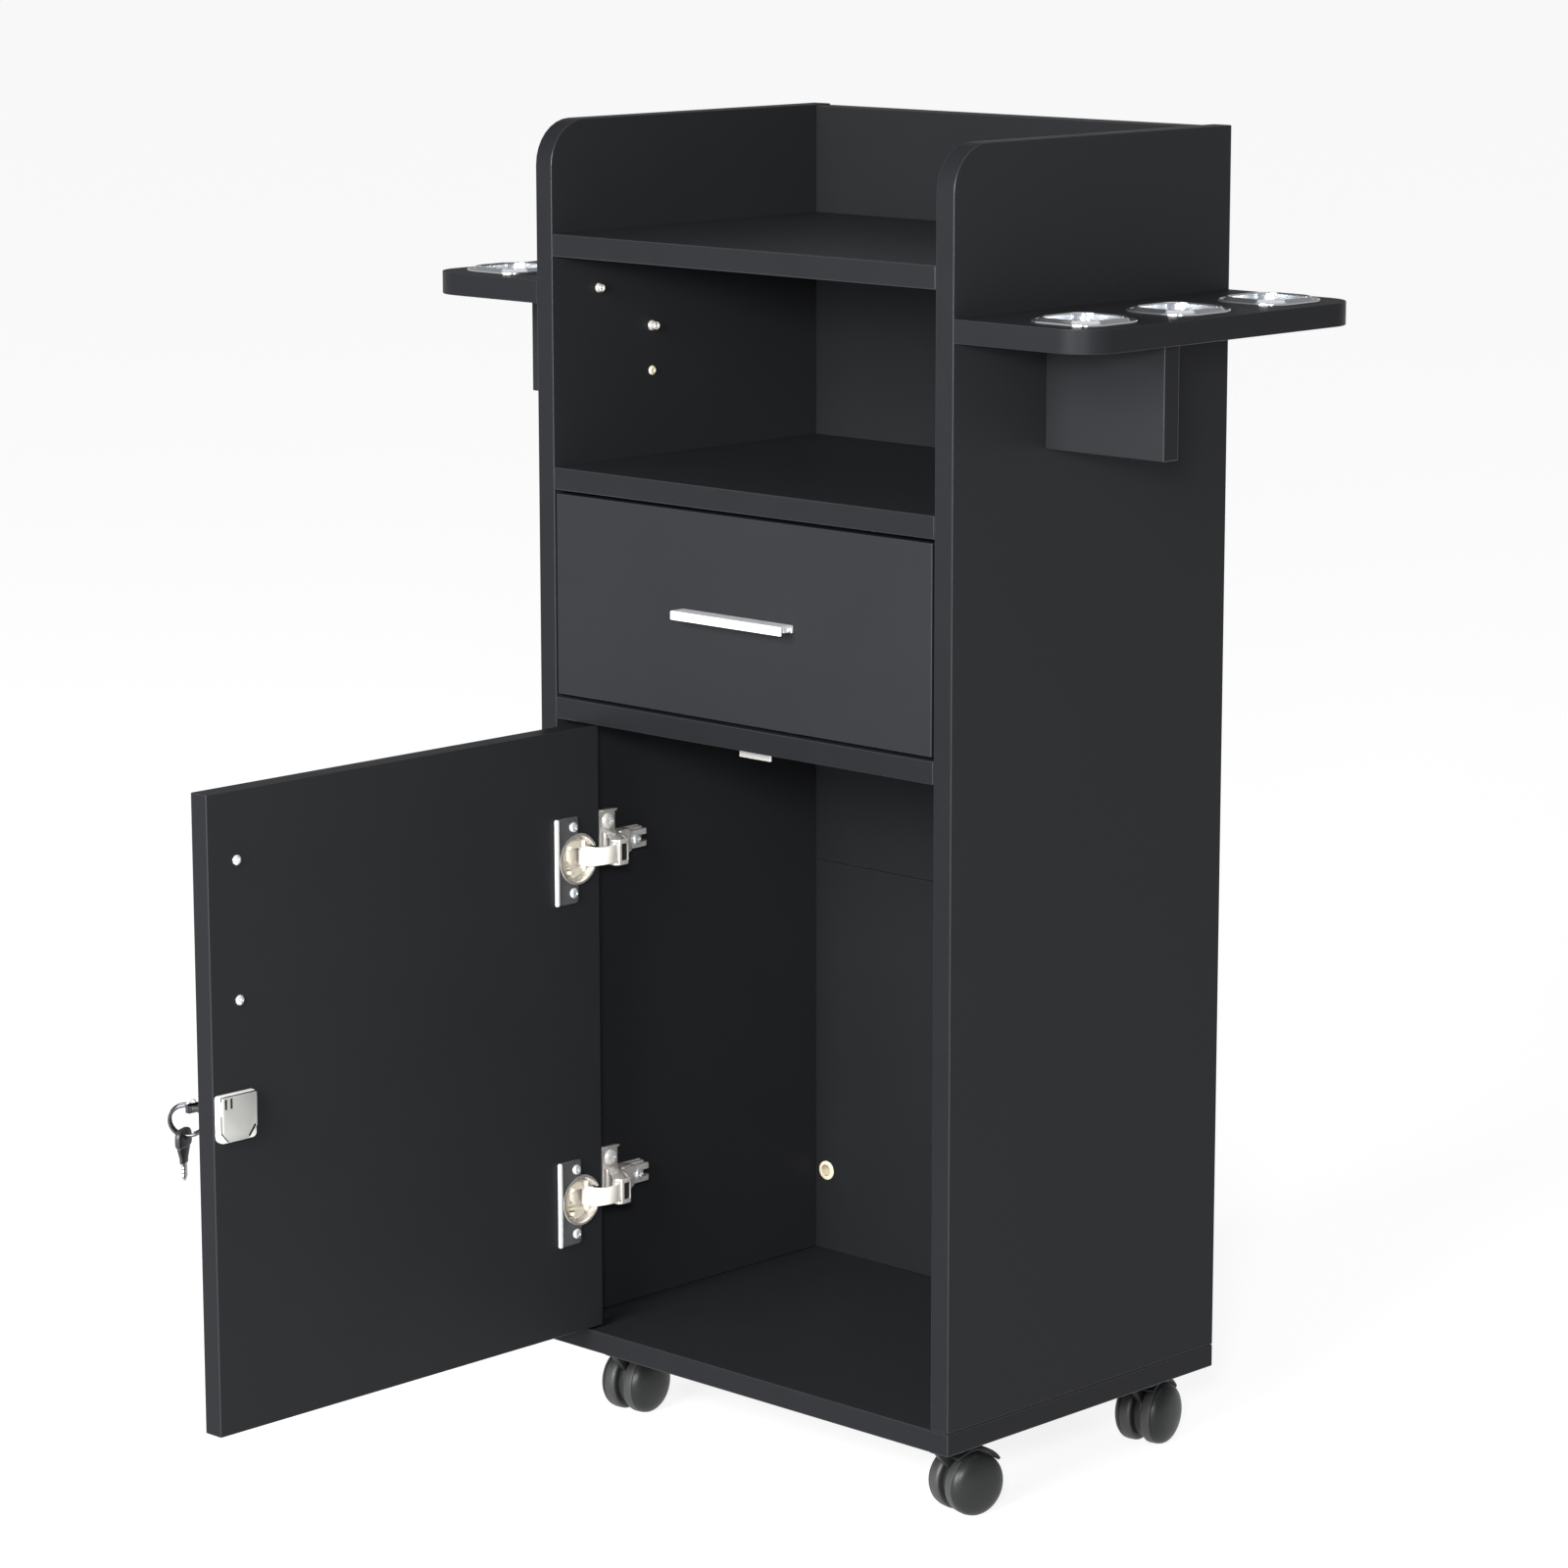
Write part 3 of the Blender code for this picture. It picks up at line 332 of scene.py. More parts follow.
def tube(points, radius, closed=False, segments=12):
    """A round wire along a path."""
    line = [Vector(point) for point in points]
    count = len(line)
    shape = bmesh.new()
    rows = []
    side = None
    for index, point in enumerate(line):
        before = line[index - 1] if (index or closed) else point
        after = line[(index + 1) % count] if (index < count - 1 or closed) else point
        tangent = (after - before).normalized()
        if side is None:
            side = tangent.orthogonal().normalized()
        side = (side - tangent * side.dot(tangent)).normalized()
        over = tangent.cross(side)
        row = []
        for step in range(segments):
            angle = 2 * math.pi * step / segments
            row.append(shape.verts.new(point + (side * math.cos(angle) + over * math.sin(angle)) * radius))
        rows.append(row)
    pairs = list(zip(rows, rows[1:]))
    if closed:
        pairs.append((rows[-1], rows[0]))
    for row, following in pairs:
        bridge(shape, row, following)
    if not closed:
        shape.faces.new(rows[0])
        shape.faces.new(rows[-1])
    return shape


def ribbon(points, half, cap_segments=8):
    """The outline of a strip of even width along a bent line, with a round end at each end."""
    line = [Vector(point) for point in points]
    left, right = [], []
    for index, point in enumerate(line[1:-1], 1):
        into = (point - line[index - 1]).normalized()
        out = (line[index + 1] - point).normalized()
        across = (Vector((-into.y, into.x)) + Vector((-out.y, out.x))).normalized()
        reach = half / max(0.5, across.dot(Vector((-out.y, out.x))))
        left.append(tuple(point + across * reach))
        right.append(tuple(point - across * reach))
    first, last = line[0] - line[1], line[-1] - line[-2]
    start = math.degrees(math.atan2(first.y, first.x))
    end = math.degrees(math.atan2(last.y, last.x))
    head = arc(line[0], half, start - 90, start + 90, cap_segments)
    tail = arc(line[-1], half, end - 90, end + 90, cap_segments)
    return head + right + tail + left[::-1]


def merged(*shapes):
    """Several shapes as one. The shapes handed in are used up."""
    whole = bmesh.new()
    for shape in shapes:
        mesh = bpy.data.meshes.new("part")
        shape.to_mesh(mesh)
        shape.free()
        whole.from_mesh(mesh)
        bpy.data.meshes.remove(mesh)
    return whole


def placed(shape, matrix):
    """The shape itself, moved by a matrix."""
    bmesh.ops.transform(shape, matrix=matrix, verts=shape.verts)
    return shape


def carved(shape, *cutters):
    """The shape with other shapes cut out of it. The shapes handed in are used up."""
    helpers = []
    for index, part in enumerate((shape, *cutters)):
        bmesh.ops.recalc_face_normals(part, faces=part.faces)
        mesh = bpy.data.meshes.new("carve")
        part.to_mesh(mesh)
        part.free()
        helper = bpy.data.objects.new(f"carve_{index}", mesh)
        bpy.context.scene.collection.objects.link(helper)
        helpers.append(helper)
    for helper in helpers[1:]:
        modifier = helpers[0].modifiers.new("cut", "BOOLEAN")
        modifier.operation = "DIFFERENCE"
        modifier.solver = "EXACT"
        modifier.object = helper
    bpy.context.view_layer.update()
    cut = helpers[0].evaluated_get(bpy.context.evaluated_depsgraph_get())
    result = bmesh.new()
    result.from_mesh(cut.to_mesh())
    cut.to_mesh_clear()
    for helper in helpers:
        bpy.data.meshes.remove(helper.data)
    return result


# Edges that turn by more than this, in degrees, are rounded on CAD nodes and shaded sharp on pieces
EDGE_ANGLE = 32.0


def piece(name, shape, looks, like, stands_for=(), sharp=EDGE_ANGLE):
    """A finished piece that moves with a CAD node."""
    bmesh.ops.recalc_face_normals(shape, faces=shape.faces)
    mesh = bpy.data.meshes.new(name)
    shape.to_mesh(mesh)
    shape.free()
    for look in looks if isinstance(looks, tuple) else (looks,):
        mesh.materials.append(look)
    mesh.shade_smooth()
    mesh.set_sharp_from_angle(angle=math.radians(sharp))
    made = bpy.data.objects.new(name, mesh)
    bpy.context.scene.collection.objects.link(made)
    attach(made, BODY_OF[like])
    if stands_for:
        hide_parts(*stands_for)


def dress(node, look, edge=None, width=0.0006, flat=False):
    """Gives a CAD node its materials and rounds its edges, which take the edge's material."""
    made = NODES[node]
    mesh = made.data
    mesh.materials.clear()
    mesh.materials.append(look)
    mesh.materials.append(edge or look)
    if "custom_normal" in mesh.attributes:
        mesh.attributes.remove(mesh.attributes["custom_normal"])
    mesh.shade_smooth()
    weld = made.modifiers.new("weld", "WELD")
    weld.merge_threshold = 1e-5
    if flat:
        join = made.modifiers.new("join_flat", "DECIMATE")
        join.decimate_type = "DISSOLVE"
        join.angle_limit = math.radians(0.5)
    bevel = made.modifiers.new("edges", "BEVEL")
    bevel.width = width
    bevel.segments = 2
    bevel.limit_method = "ANGLE"
    bevel.angle_limit = math.radians(EDGE_ANGLE)
    bevel.use_clamp_overlap = True
    bevel.material = 1
    shade = made.modifiers.new("shade", "WEIGHTED_NORMAL")
    shade.keep_sharp = False
    shade.weight = 80
    return made


# ---------------------------------------------------------------- fixings

# A screw head of unit radius: a dome, then the two slots of its cross
SCREW_DOME = (
    # height, radius
    (0.0, 0.0),
    (0.0, 0.96),
    (0.10, 1.0),
    (0.24, 0.97),
    (0.38, 0.84),
    (0.47, 0.6),
    (0.51, 0.3),
    (0.52, 0.0),
)
SCREW_HEAD = carved(
    turned(SCREW_DOME, (0, 0, 0), "Z", 32),
    block((-0.13, -0.55, 0.22), (0.13, 0.55, 0.8), 0.02),
    block((-0.55, -0.13, 0.22), (0.55, 0.13, 0.8), 0.02),
)


def screw(centre, facing, radius, turn):
    """A domed screw head with a cross recess, turned by an angle in degrees."""
    head = SCREW_HEAD.copy()
    aim = Vector(facing).to_track_quat("Z", "Y").to_matrix().to_4x4()
    spin = Matrix.Rotation(math.radians(turn), 4, "Z")
    return placed(head, Matrix.Translation(centre) @ aim @ spin @ Matrix.Scale(radius, 4))


# ---------------------------------------------------------------- boards, handles and plain metal


def dress_board(node):
    """Coated faces, banded narrow sides and a slight sheen along the rounded edges."""
    # The back panels take the darker copy of the board, which is painted shade for the shade inside the
    # compartments
    look = BACK_PANEL_SHADE if node.endswith("back_panel") else BOARD
    made = dress(node, look, BOARD_EDGE, 0.0007, flat=True)
    made.data.materials.append(BAND)
    low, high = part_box(node)
    size = high - low
    thin = min(range(3), key=lambda axis: size[axis])
    for polygon in made.data.polygons:
        polygon.material_index = 2 if abs(polygon.normal[thin]) < 0.5 else 0


for node, slot in SLOT_OF.items():
    if slot == "black_board":
        dress_board(node)
    elif slot == "drawer_board":
        dress(node, DRAWER, DRAWER_HIGHLIGHT_EDGE, 0.0005, flat=True)
dress("drawer_handle", ALLOY_X, width=0.00025)
dress("door_handle", ALLOY_Z, width=0.00025)
for side, _ in SIDES:
    dress(f"{side}_cabinet_runner", SILVER, width=0.0002)
    dress(f"{side}_drawer_runner", SILVER, width=0.0002)
dress("door_stop", STEEL, width=0.0003)
dress("lock_bolt", STEEL, width=0.0003)
dress("lock_plug", STEEL, width=0.0002)


# ---------------------------------------------------------------- holder rings

RING_SECTION = (
    # half width inside the ring's outline, height over the shelf
    (0.0300, 0.0000),
    (0.0300, 0.0008),
    (0.0298, 0.0013),
    (0.0293, 0.0016),
    (0.0288, 0.0013),
    (0.0285, 0.0007),
    (0.0278, 0.0005),
    (0.0268, 0.0008),
    (0.0257, 0.0018),
    (0.0249, 0.0029),
    (0.0243, 0.0033),
    (0.0238, 0.0032),
    (0.02345, 0.0026),
    (0.0234, 0.0018),
    (0.0234, -0.0180),
    (0.0240, -0.0182),
    (0.0246, -0.0178),
    (0.0246, 0.0000),
)


# Corner radius of a ring's outline as a share of its half width
RING_ROUNDNESS = 0.62

# Depth below the ring's flat rim at which the bore's material starts
BORE_DEPTH = 0.0024


def ring_loop(centre, half, height, top):
    """One loop of a holder ring: a square with large corner radii at a height over the shelf."""
    radius = half * RING_ROUNDNESS
    low = (centre.x - half, centre.y - half)
    high = (centre.x + half, centre.y + half)
    outline = rounded(low, high, (radius,) * 4, 12)
    return [(x, y, top + height) for x, y in outline]


for side, _ in SIDES:
    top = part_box(f"{side}_holder_shelf")[1].z + 0.0001
    for place in ("front", "middle", "rear"):
        node = f"{side}_{place}_holder_ring"
        low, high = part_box(node)
        centre = (low + high) / 2
        shape = bmesh.new()
        rows = []
        for half, height in RING_SECTION:
            rows.append([shape.verts.new(point) for point in ring_loop(centre, half, height, top)])
        for row, following in zip(rows, rows[1:] + rows[:1]):
            bridge(shape, row, following)
        bmesh.ops.remove_doubles(shape, verts=shape.verts, dist=1e-7)
        for wall in shape.faces:
            wall.material_index = 1 if wall.calc_center_median().z < top - BORE_DEPTH else 0
        piece(f"{node}_bezel", shape, (CHROME, CHROME_BORE), node, (node,), 60.0)


# ---------------------------------------------------------------- casters

WHEEL = (
    # distance from the caster's middle, radius
    (0.0034, 0.0034),
    (0.0034, 0.0195),
    (0.0040, 0.0213),
    (0.0052, 0.0222),
    (0.0064, 0.0225),
    (0.0112, 0.0225),
    (0.0121, 0.0223),
    (0.0124, 0.0219),
    (0.0127, 0.0222),
    (0.0136, 0.0220),
    (0.0152, 0.0211),
    (0.0168, 0.0196),
    (0.0182, 0.0174),
    (0.0194, 0.0145),
    (0.0203, 0.0110),
    (0.0209, 0.0070),
    (0.0212, 0.0030),
    (0.0212, 0.0),
)
TREAD_RADIUS = 0.0214
TREAD_EDGE = 0.0122

# The moulding between the wheels: a web, a hood over the wheels and a round neck under the plate
CROWN = 0.0521
WEB_RADIUS = 0.0185
WEB_HALF_THICKNESS = 0.0026
HOOD_OUTER = 0.0262
HOOD_INNER = 0.0238
HOOD_START = 35
HOOD_END = 128
HOOD_HALF_WIDTH = 0.0125
NECK = (
    # height, radius
    (CROWN - 0.0046, 0.0),
    (CROWN - 0.0046, 0.0128),
    (CROWN - 0.0040, 0.0140),
    (CROWN - 0.0010, 0.0142),
    (CROWN, 0.0134),
    (CROWN, 0.0),
)
KINGPIN_RADIUS = 0.004
AXLE_RADIUS = 0.003
AXLE_REACH = 0.019

PLATE_THICKNESS = 0.0024
PLATE_SCREW_INSET = 0.005
PLATE_SCREW_RADIUS = 0.0033


def caster_wheel(node, sign, trail, hub_height, local):
    """One wheel with its tread, on one side of the caster."""
    profile = [(sign * along, radius) for along, radius in WHEEL]
    shape = turned(profile, (0, trail, hub_height), "X", 64)
    for face in shape.faces:
        middle = face.calc_center_median()
        spread = math.hypot(middle.y - trail, middle.z - hub_height)
        on_tread = spread > TREAD_RADIUS and abs(middle.x) < TREAD_EDGE
        face.material_index = 1 if on_tread else 0
    piece(f"{node}_tyre", placed(shape, local), (NYLON, TREAD), node, (node,), 40.0)


def caster_moulding(node, trail, hub_height, local):
    """The swivelling body: web, hood, neck, kingpin and axle."""
    hub = (trail, hub_height)
    web_line = arc(hub, WEB_RADIUS, -215, 65, 24)
    web_line += [(0.0140, CROWN - 0.002), (-0.0130, CROWN - 0.002)]
    web = prism(web_line, -WEB_HALF_THICKNESS, WEB_HALF_THICKNESS, "X", 0.0006)
    hood_line = arc(hub, HOOD_OUTER, HOOD_START, HOOD_END, 20)
    hood_line += arc(hub, HOOD_INNER, HOOD_END, HOOD_START, 20)
    hood = prism(hood_line, -HOOD_HALF_WIDTH, HOOD_HALF_WIDTH, "X", 0.0008, 3)
    neck = turned(NECK, (0, 0, 0), "Z", 48)
    kingpin = cylinder(CROWN - 0.002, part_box(node)[1].z, KINGPIN_RADIUS, (0, 0, 0), "Z", 24)
    axle = cylinder(-AXLE_REACH, AXLE_REACH, AXLE_RADIUS, (0, trail, hub_height), "X", 24)
    shape = merged(web, hood, neck, kingpin, axle)
    piece(f"{node}_moulding", placed(shape, local), NYLON, node, (node,), 40.0)


def caster_plate(node):
    """The top plate and its four screws, seen from below."""
    dress(node, SILVER, width=0.0004)
    low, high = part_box(node)
    under = high.z - PLATE_THICKNESS + 0.0001
    heads = []
    for x in (low.x + PLATE_SCREW_INSET, high.x - PLATE_SCREW_INSET):
        for y in (low.y + PLATE_SCREW_INSET, high.y - PLATE_SCREW_INSET):
            heads.append(screw((x, y, under), (0, 0, -1), PLATE_SCREW_RADIUS, 25.0 * len(heads)))
    piece(f"{node}_screws", merged(*heads), SILVER, node)


for corner in CORNERS:
    pivot = Vector(JOINTS[f"{corner}_swivel"]["pos_m"])
    hub = Vector(JOINTS[f"{corner}_right_wheel_spin"]["pos_m"])
    axis = Vector(JOINTS[f"{corner}_right_wheel_spin"]["axis"])
    turn = Matrix.Rotation(math.atan2(axis.y, axis.x), 4, "Z")
    foot = Vector((pivot.x, pivot.y, 0))
    local = Matrix.Translation(foot) @ turn
    trail = (turn.inverted() @ (hub - foot)).y
    for side, sign in SIDES:
        caster_wheel(f"{corner}_{side}_wheel", sign, trail, hub.z, local)
    caster_moulding(f"{corner}_caster_body", trail, hub.z, local)
    caster_plate(f"{corner}_caster_plate")


# ---------------------------------------------------------------- hinges

DOOR_LOW, DOOR_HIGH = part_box("door_panel")
DOOR_FACE = DOOR_HIGH.x

# The cup and its flange, from the door's hinged edge
CUP_Y = DOOR_HIGH.y - 0.0215
CUP_RADIUS = 0.0175
CUP_BORE = 0.0165
FLANGE_NEAR = DOOR_HIGH.y - 0.0222
FLANGE_FAR = DOOR_HIGH.y - 0.0450
FLANGE_HALF_HEIGHT = 0.0315
FLANGE_BACK = DOOR_FACE + 0.0003
CUP_SCREW_RISE = 0.024
HOUSING = (
    # along the door from the cup's middle, height over it
    (-0.0098, -0.0040),
    (-0.0098, 0.0115),
    (-0.0020, 0.0135),
    (0.0040, 0.0125),
    (0.0040, 0.0045),
    (0.0072, 0.0030),
    (0.0074, -0.0060),
    (0.0040, -0.0115),
    (-0.0015, -0.0140),
    (-0.0045, -0.0135),
    (-0.0085, -0.0085),
)
SPRING = (
    # height, radius
    (-0.0105, 0.0),
    (-0.0105, 0.0022),
    (-0.0098, 0.0028),
    (0.0098, 0.0028),
    (0.0105, 0.0022),
    (0.0105, 0.0),
)

# The link's middle line, from its pin in the arm to its pin in the cup
LINK = (
    # across the door, along the door, half width
    (0.0, 0.0, 0.0070),
    (0.0030, -0.0040, 0.0069),
    (0.0046, -0.0085, 0.0066),
    (0.0049, -0.0135, 0.0064),
    (0.0040, -0.0180, 0.0064),
    (0.0018, -0.0222, 0.0066),
    (-0.0022, -0.0250, 0.0069),
    (-0.0078, -0.0257, 0.0070),
)
LINK_HALF_THICKNESS = 0.0014
LINK_ROOM = 0.0078
EYE_HALF_LENGTH = 0.0066
ARM_PIN_HALF_LENGTH = 0.0090
CUP_PIN_HALF_LENGTH = 0.0112

# The arm: two cheeks outside the link, on the pin's two sides
CHEEK_INNER = 0.0074
CHEEK_OUTER = 0.0093
TRUNK_HALF_WIDTH = 0.0080
TAIL_HALF_WIDTH = 0.0066
TAIL_Y = 0.0500


def in_cup(pin):
    """The place of the link's pin in the cup, from the place of its pin in the arm."""
    across, along, _ = LINK[-1]
    return pin + Vector((across, along, 0))


def link_channel(pin):
    """The room in the cup's housing for the link, which folds into it when the door shuts."""
    fold = Matrix.Rotation(-math.radians(JOINTS["door_hinge"]["range_deg"][1]), 2)
    cup_pin = in_cup(pin)
    open_side = DOOR_FACE + 0.006
    line = []
    for across, along, _ in LINK[2:-1]:
        folded = fold @ (Vector((across, along)) - Vector(LINK[-1][:2]))
        line.append((cup_pin.x + folded.x - 0.0026, cup_pin.y + folded.y))
    far_x, far_y = line[0]
    far_y -= 0.0022
    near_y = cup_pin.y + 0.0040
    floor_x = cup_pin.x - 0.0048
    line = [(open_side, far_y), (far_x, far_y)] + line[1:]
    line += [(floor_x, cup_pin.y - 0.0015), (floor_x, near_y), (open_side, near_y)]
    return prism(line, pin.z - LINK_ROOM, pin.z + LINK_ROOM, "Z", 0.0)


def cup_bowl(bottom, z):
    """The pressed bowl with a rolled rim, open towards the arm."""
    profile = [
        (bottom, 0.0),
        (bottom, CUP_BORE),
        (bottom + 0.001, CUP_RADIUS),
        (DOOR_FACE + 0.0004, CUP_RADIUS),
        (DOOR_FACE + 0.0004, CUP_RADIUS + 0.0012),
        (DOOR_FACE + 0.0009, CUP_RADIUS + 0.0014),
        (DOOR_FACE + 0.0015, CUP_RADIUS + 0.0009),
        (DOOR_FACE + 0.0017, CUP_RADIUS + 0.0002),
        (DOOR_FACE + 0.0014, CUP_RADIUS - 0.0007),
        (DOOR_FACE + 0.0006, CUP_BORE),
        (bottom + 0.0016, CUP_BORE),
        (bottom + 0.0008, CUP_BORE - 0.0007),
        (bottom + 0.0008, 0.0),
    ]
    bowl = turned(profile, (0, CUP_Y, z), "X", 56)
    notch_low = (DOOR_FACE - 0.0030, CUP_Y + 0.0125, z - 0.0077)
    notch_high = (DOOR_FACE + 0.01, CUP_Y + 0.022, z + 0.0077)
    return carved(bowl, block(notch_low, notch_high, 0.0002))


def cup_flange(z):
    """The flange that is screwed to the door, with a lip along its top."""
    low = (FLANGE_FAR, z - FLANGE_HALF_HEIGHT)
    high = (FLANGE_NEAR, z + FLANGE_HALF_HEIGHT)
    strip = prism(rounded(low, high, (0.003,) * 4), FLANGE_BACK, DOOR_FACE + 0.0014, "X", 0.0003)
    hollow = cylinder(DOOR_FACE - 0.01, DOOR_FACE + 0.01, 0.0170, (0, CUP_Y, z), "X", 56)
    lip = block(
        (DOOR_FACE + 0.0008, FLANGE_FAR + 0.002, high[1] - 0.0012),
        (DOOR_FACE + 0.0024, FLANGE_NEAR - 0.001, high[1]),
        0.0005,
    )
    return merged(carved(strip, hollow), lip)


def cup_rib(z):
    """The folded rib along the flange's far edge."""
    low = (FLANGE_FAR, z - FLANGE_HALF_HEIGHT)
    high = (FLANGE_FAR + 0.0034, z + FLANGE_HALF_HEIGHT)
    return prism(rounded(low, high, (0.0015,) * 4), FLANGE_BACK, DOOR_FACE + 0.0031, "X", 0.0009, 3)


def cup_housing(bottom, pin):
    """The housing inside the bowl and its spring, both cut away for the link."""
    channel = link_channel(pin)
    line = [(CUP_Y + along, pin.z + up) for along, up in HOUSING]
    housing = prism(line, bottom + 0.002, DOOR_FACE - 0.0008, "X", 0.0010, 3)
    spring = turned(SPRING, (DOOR_FACE - 0.0016, CUP_Y - 0.0070, pin.z), "Z", 24)
    return merged(carved(housing, channel.copy()), carved(spring, channel))


def hinge_cup(level, pin):
    """Everything of one hinge that is fixed to the door."""
    node = f"{level}_hinge_cup"
    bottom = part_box(node)[0].x
    piece(f"{node}_body", cup_bowl(bottom, pin.z), NICKEL, node, (node,), 40.0)
    piece(f"{node}_flange", cup_flange(pin.z), FLANGE, node, (), 40.0)
    piece(f"{node}_rib", cup_rib(pin.z), BRIGHT_ZINC, node, (), 40.0)
    piece(f"{node}_housing", cup_housing(bottom, pin), CREAM_NICKEL, node)
    heads = []
    for end in (-1, 1):
        centre = (DOOR_FACE + 0.0013, CUP_Y - 0.0050, pin.z + end * CUP_SCREW_RISE)
        heads.append(screw(centre, (1, 0, 0), 0.0036, 12.0 + 30.0 * end))
    piece(f"{node}_screws", merged(*heads), SILVER, node)


def hinge_link(level, pin):
    """The link between the two pins: a bent plate, waisted in the middle, with an eye at each end."""
    node = f"{level}_hinge_link"
    line = [pin + Vector((across, along, 0)) for across, along, _ in LINK]
    shape = bmesh.new()
    rows = []
    for index, point in enumerate(line):
        before = line[max(index - 1, 0)]
        after = line[min(index + 1, len(line) - 1)]
        along = (after - before).normalized()
        across = Vector((-along.y, along.x, 0)) * LINK_HALF_THICKNESS
        rise = Vector((0, 0, LINK[index][2]))
        corners = (rise + across, rise - across, -rise - across, across - rise)
        rows.append([shape.verts.new(point + corner) for corner in corners])
    for row, following in zip(rows, rows[1:]):
        bridge(shape, row, following)
    shape.faces.new(rows[0])
    shape.faces.new(rows[-1])
    soften(shape, 0.0005, 2, 40.0)
    eyes = []
    for place, pin_half_length in ((pin, ARM_PIN_HALF_LENGTH), (in_cup(pin), CUP_PIN_HALF_LENGTH)):
        eyes.append(rod(EYE_HALF_LENGTH, 0.0031, 0.0004, place, 28))
        eyes.append(rod(pin_half_length, 0.0018, 0.0003, place, 20))
    piece(f"{node}_plate", merged(shape, *eyes), PALE, node, (node,), 40.0)


def hinge_arm(level, pin, wall):
    """The arm: cheeks round the link, a body with a window, a forked tail and a folded front web."""
    node = f"{level}_hinge_arm"
    x, y, z = pin
    bend = (x - 0.0098, y + 0.0078)
    spine = wall + 0.0095
    knee = (spine, y + 0.0183)
    cheek = ribbon([(x, y), bend, knee, (spine, y + 0.0300)], 0.0048)
    parts = [
        prism(cheek, z + CHEEK_INNER, z + CHEEK_OUTER, "Z", 0.0005, 2),
        prism(cheek, z - CHEEK_OUTER, z - CHEEK_INNER, "Z", 0.0005, 2),
    ]
    trunk = ribbon([(bend[0] - 0.0028, bend[1] + 0.0024), knee, (spine, y + 0.0330)], 0.0044)
    window = block((spine + 0.0015, y + 0.0148, z - 0.0052), (spine + 0.02, y + 0.0198, z + 0.0052), 0.0004)
    trunk = prism(trunk, z - TRUNK_HALF_WIDTH, z + TRUNK_HALF_WIDTH, "Z", 0.0009, 3)
    parts.append(carved(trunk, window))
    tail = ribbon([(spine - 0.0008, y + 0.0290), (spine - 0.0008, y + TAIL_Y)], 0.0036)
    tail = prism(tail, z - TAIL_HALF_WIDTH, z + TAIL_HALF_WIDTH, "Z", 0.0008, 3)
    fork_low = (spine - 0.01, y + TAIL_Y - 0.0085, z - 0.0026)
    fork_high = (spine + 0.01, y + TAIL_Y + 0.01, z + 0.0026)
    parts.append(carved(tail, block(fork_low, fork_high, 0.0004)))
    web_line = [
        (x + 0.0042, y - 0.0010),
        (x + 0.0042, y + 0.0070),
        (x - 0.0040, y + 0.0125),
        (spine + 0.0036, y + 0.0200),
    ]
    web = prism(ribbon(web_line, 0.0007), z - CHEEK_OUTER, z + CHEEK_OUTER, "Z", 0.0003)
    opening = block((x + 0.001, y + 0.0008, z - 0.0062), (x + 0.008, y + 0.0076, z + 0.0062), 0.0004)
    # A thin dark sheet just behind the window: painted shade, not a recess in the arm
    recess = block((x + 0.0026, y + 0.0004, z - 0.0068), (x + 0.0030, y + 0.0080, z + 0.0068), 0.0001)
    parts.append(carved(web, opening))
    rim_low = (spine - 0.004, y + 0.0225, z + 0.0076)
    parts.append(block(rim_low, (spine + 0.0058, y + 0.0262, z + 0.0092), 0.0005))
    # The dark sheet behind the window is painted shade
    piece(f"{node}_recess", recess, SHADE, node)
    piece(f"{node}_body", merged(*parts), STEEL, node, (node,), 40.0)
    heads = [
        screw((spine + 0.0040, y + 0.0262, z), (1, 0, 0), 0.0036, 35.0),
        screw((spine + 0.0026, y + TAIL_Y - 0.0085, z), (1, 0, 0), 0.0040, 10.0),
    ]
    piece(f"{node}_screws", merged(*heads), SILVER, node)


def hinge_plate(level, pin):
    """The plate on the cabinet's wall: a base, a screwed wing with a lip, and the arm's rail."""
    node = f"{level}_hinge_plate"
    low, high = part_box(node)
    wall = low.x
    z = pin.z
    base_line = rounded((low.y, z - 0.0080), (pin.y + 0.0540, z + 0.0080), (0.002,) * 4)
    base = prism(base_line, wall, wall + 0.0020, "X", 0.0004)
    wing_radii = (0.001, 0.001, 0.0012, 0.0012)
    wing_line = rounded((low.y, z + 0.0060), (low.y + 0.0150, high.z), wing_radii)
    wing = prism(wing_line, wall + 0.0001, wall + 0.0022, "X", 0.0004)
    lip = block(
        (wall + 0.0004, low.y + 0.0003, high.z - 0.0016),
        (wall + 0.0050, low.y + 0.0147, high.z),
        0.0005,
    )
    rail = block(
        (wall + 0.0010, low.y + 0.0005, z - 0.0075),
        (wall + 0.0056, pin.y + 0.0530, z + 0.0075),
        0.0006,
    )
    piece(f"{node}_body", merged(base, wing, lip, rail), STEEL, node, (node,), 40.0)
    head = screw((wall + 0.0020, low.y + 0.0076, z + 0.0150), (1, 0, 0), 0.0058, 0.0)
    piece(f"{node}_screws", head, BRIGHT_ZINC, node)


for level in LEVELS:
    link_pin = Vector(JOINTS[f"{level}_link_pivot"]["pos_m"])
    hinge_cup(level, link_pin)
    hinge_link(level, link_pin)
    hinge_arm(level, link_pin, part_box(f"{level}_hinge_plate")[0].x)
    hinge_plate(level, link_pin)


# ---------------------------------------------------------------- lock

CASE_LOW, CASE_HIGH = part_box("lock_case")
CASE_FACE = CASE_HIGH.x
KEY_AXIS = Vector(JOINTS["key_turn"]["pos_m"])

# The lid's edges inside the case's edges, and its cut-off corners
LID_LEFT = CASE_LOW.y + 0.0022
LID_RIGHT = CASE_HIGH.y - 0.0011
LID_BOTTOM = CASE_LOW.z + 0.00132
LID_TOP = CASE_HIGH.z - 0.0011
LID_CORNER = 0.0075
LID_THICKNESS = 0.0030
GAP_FACE = CASE_FACE - 0.0019

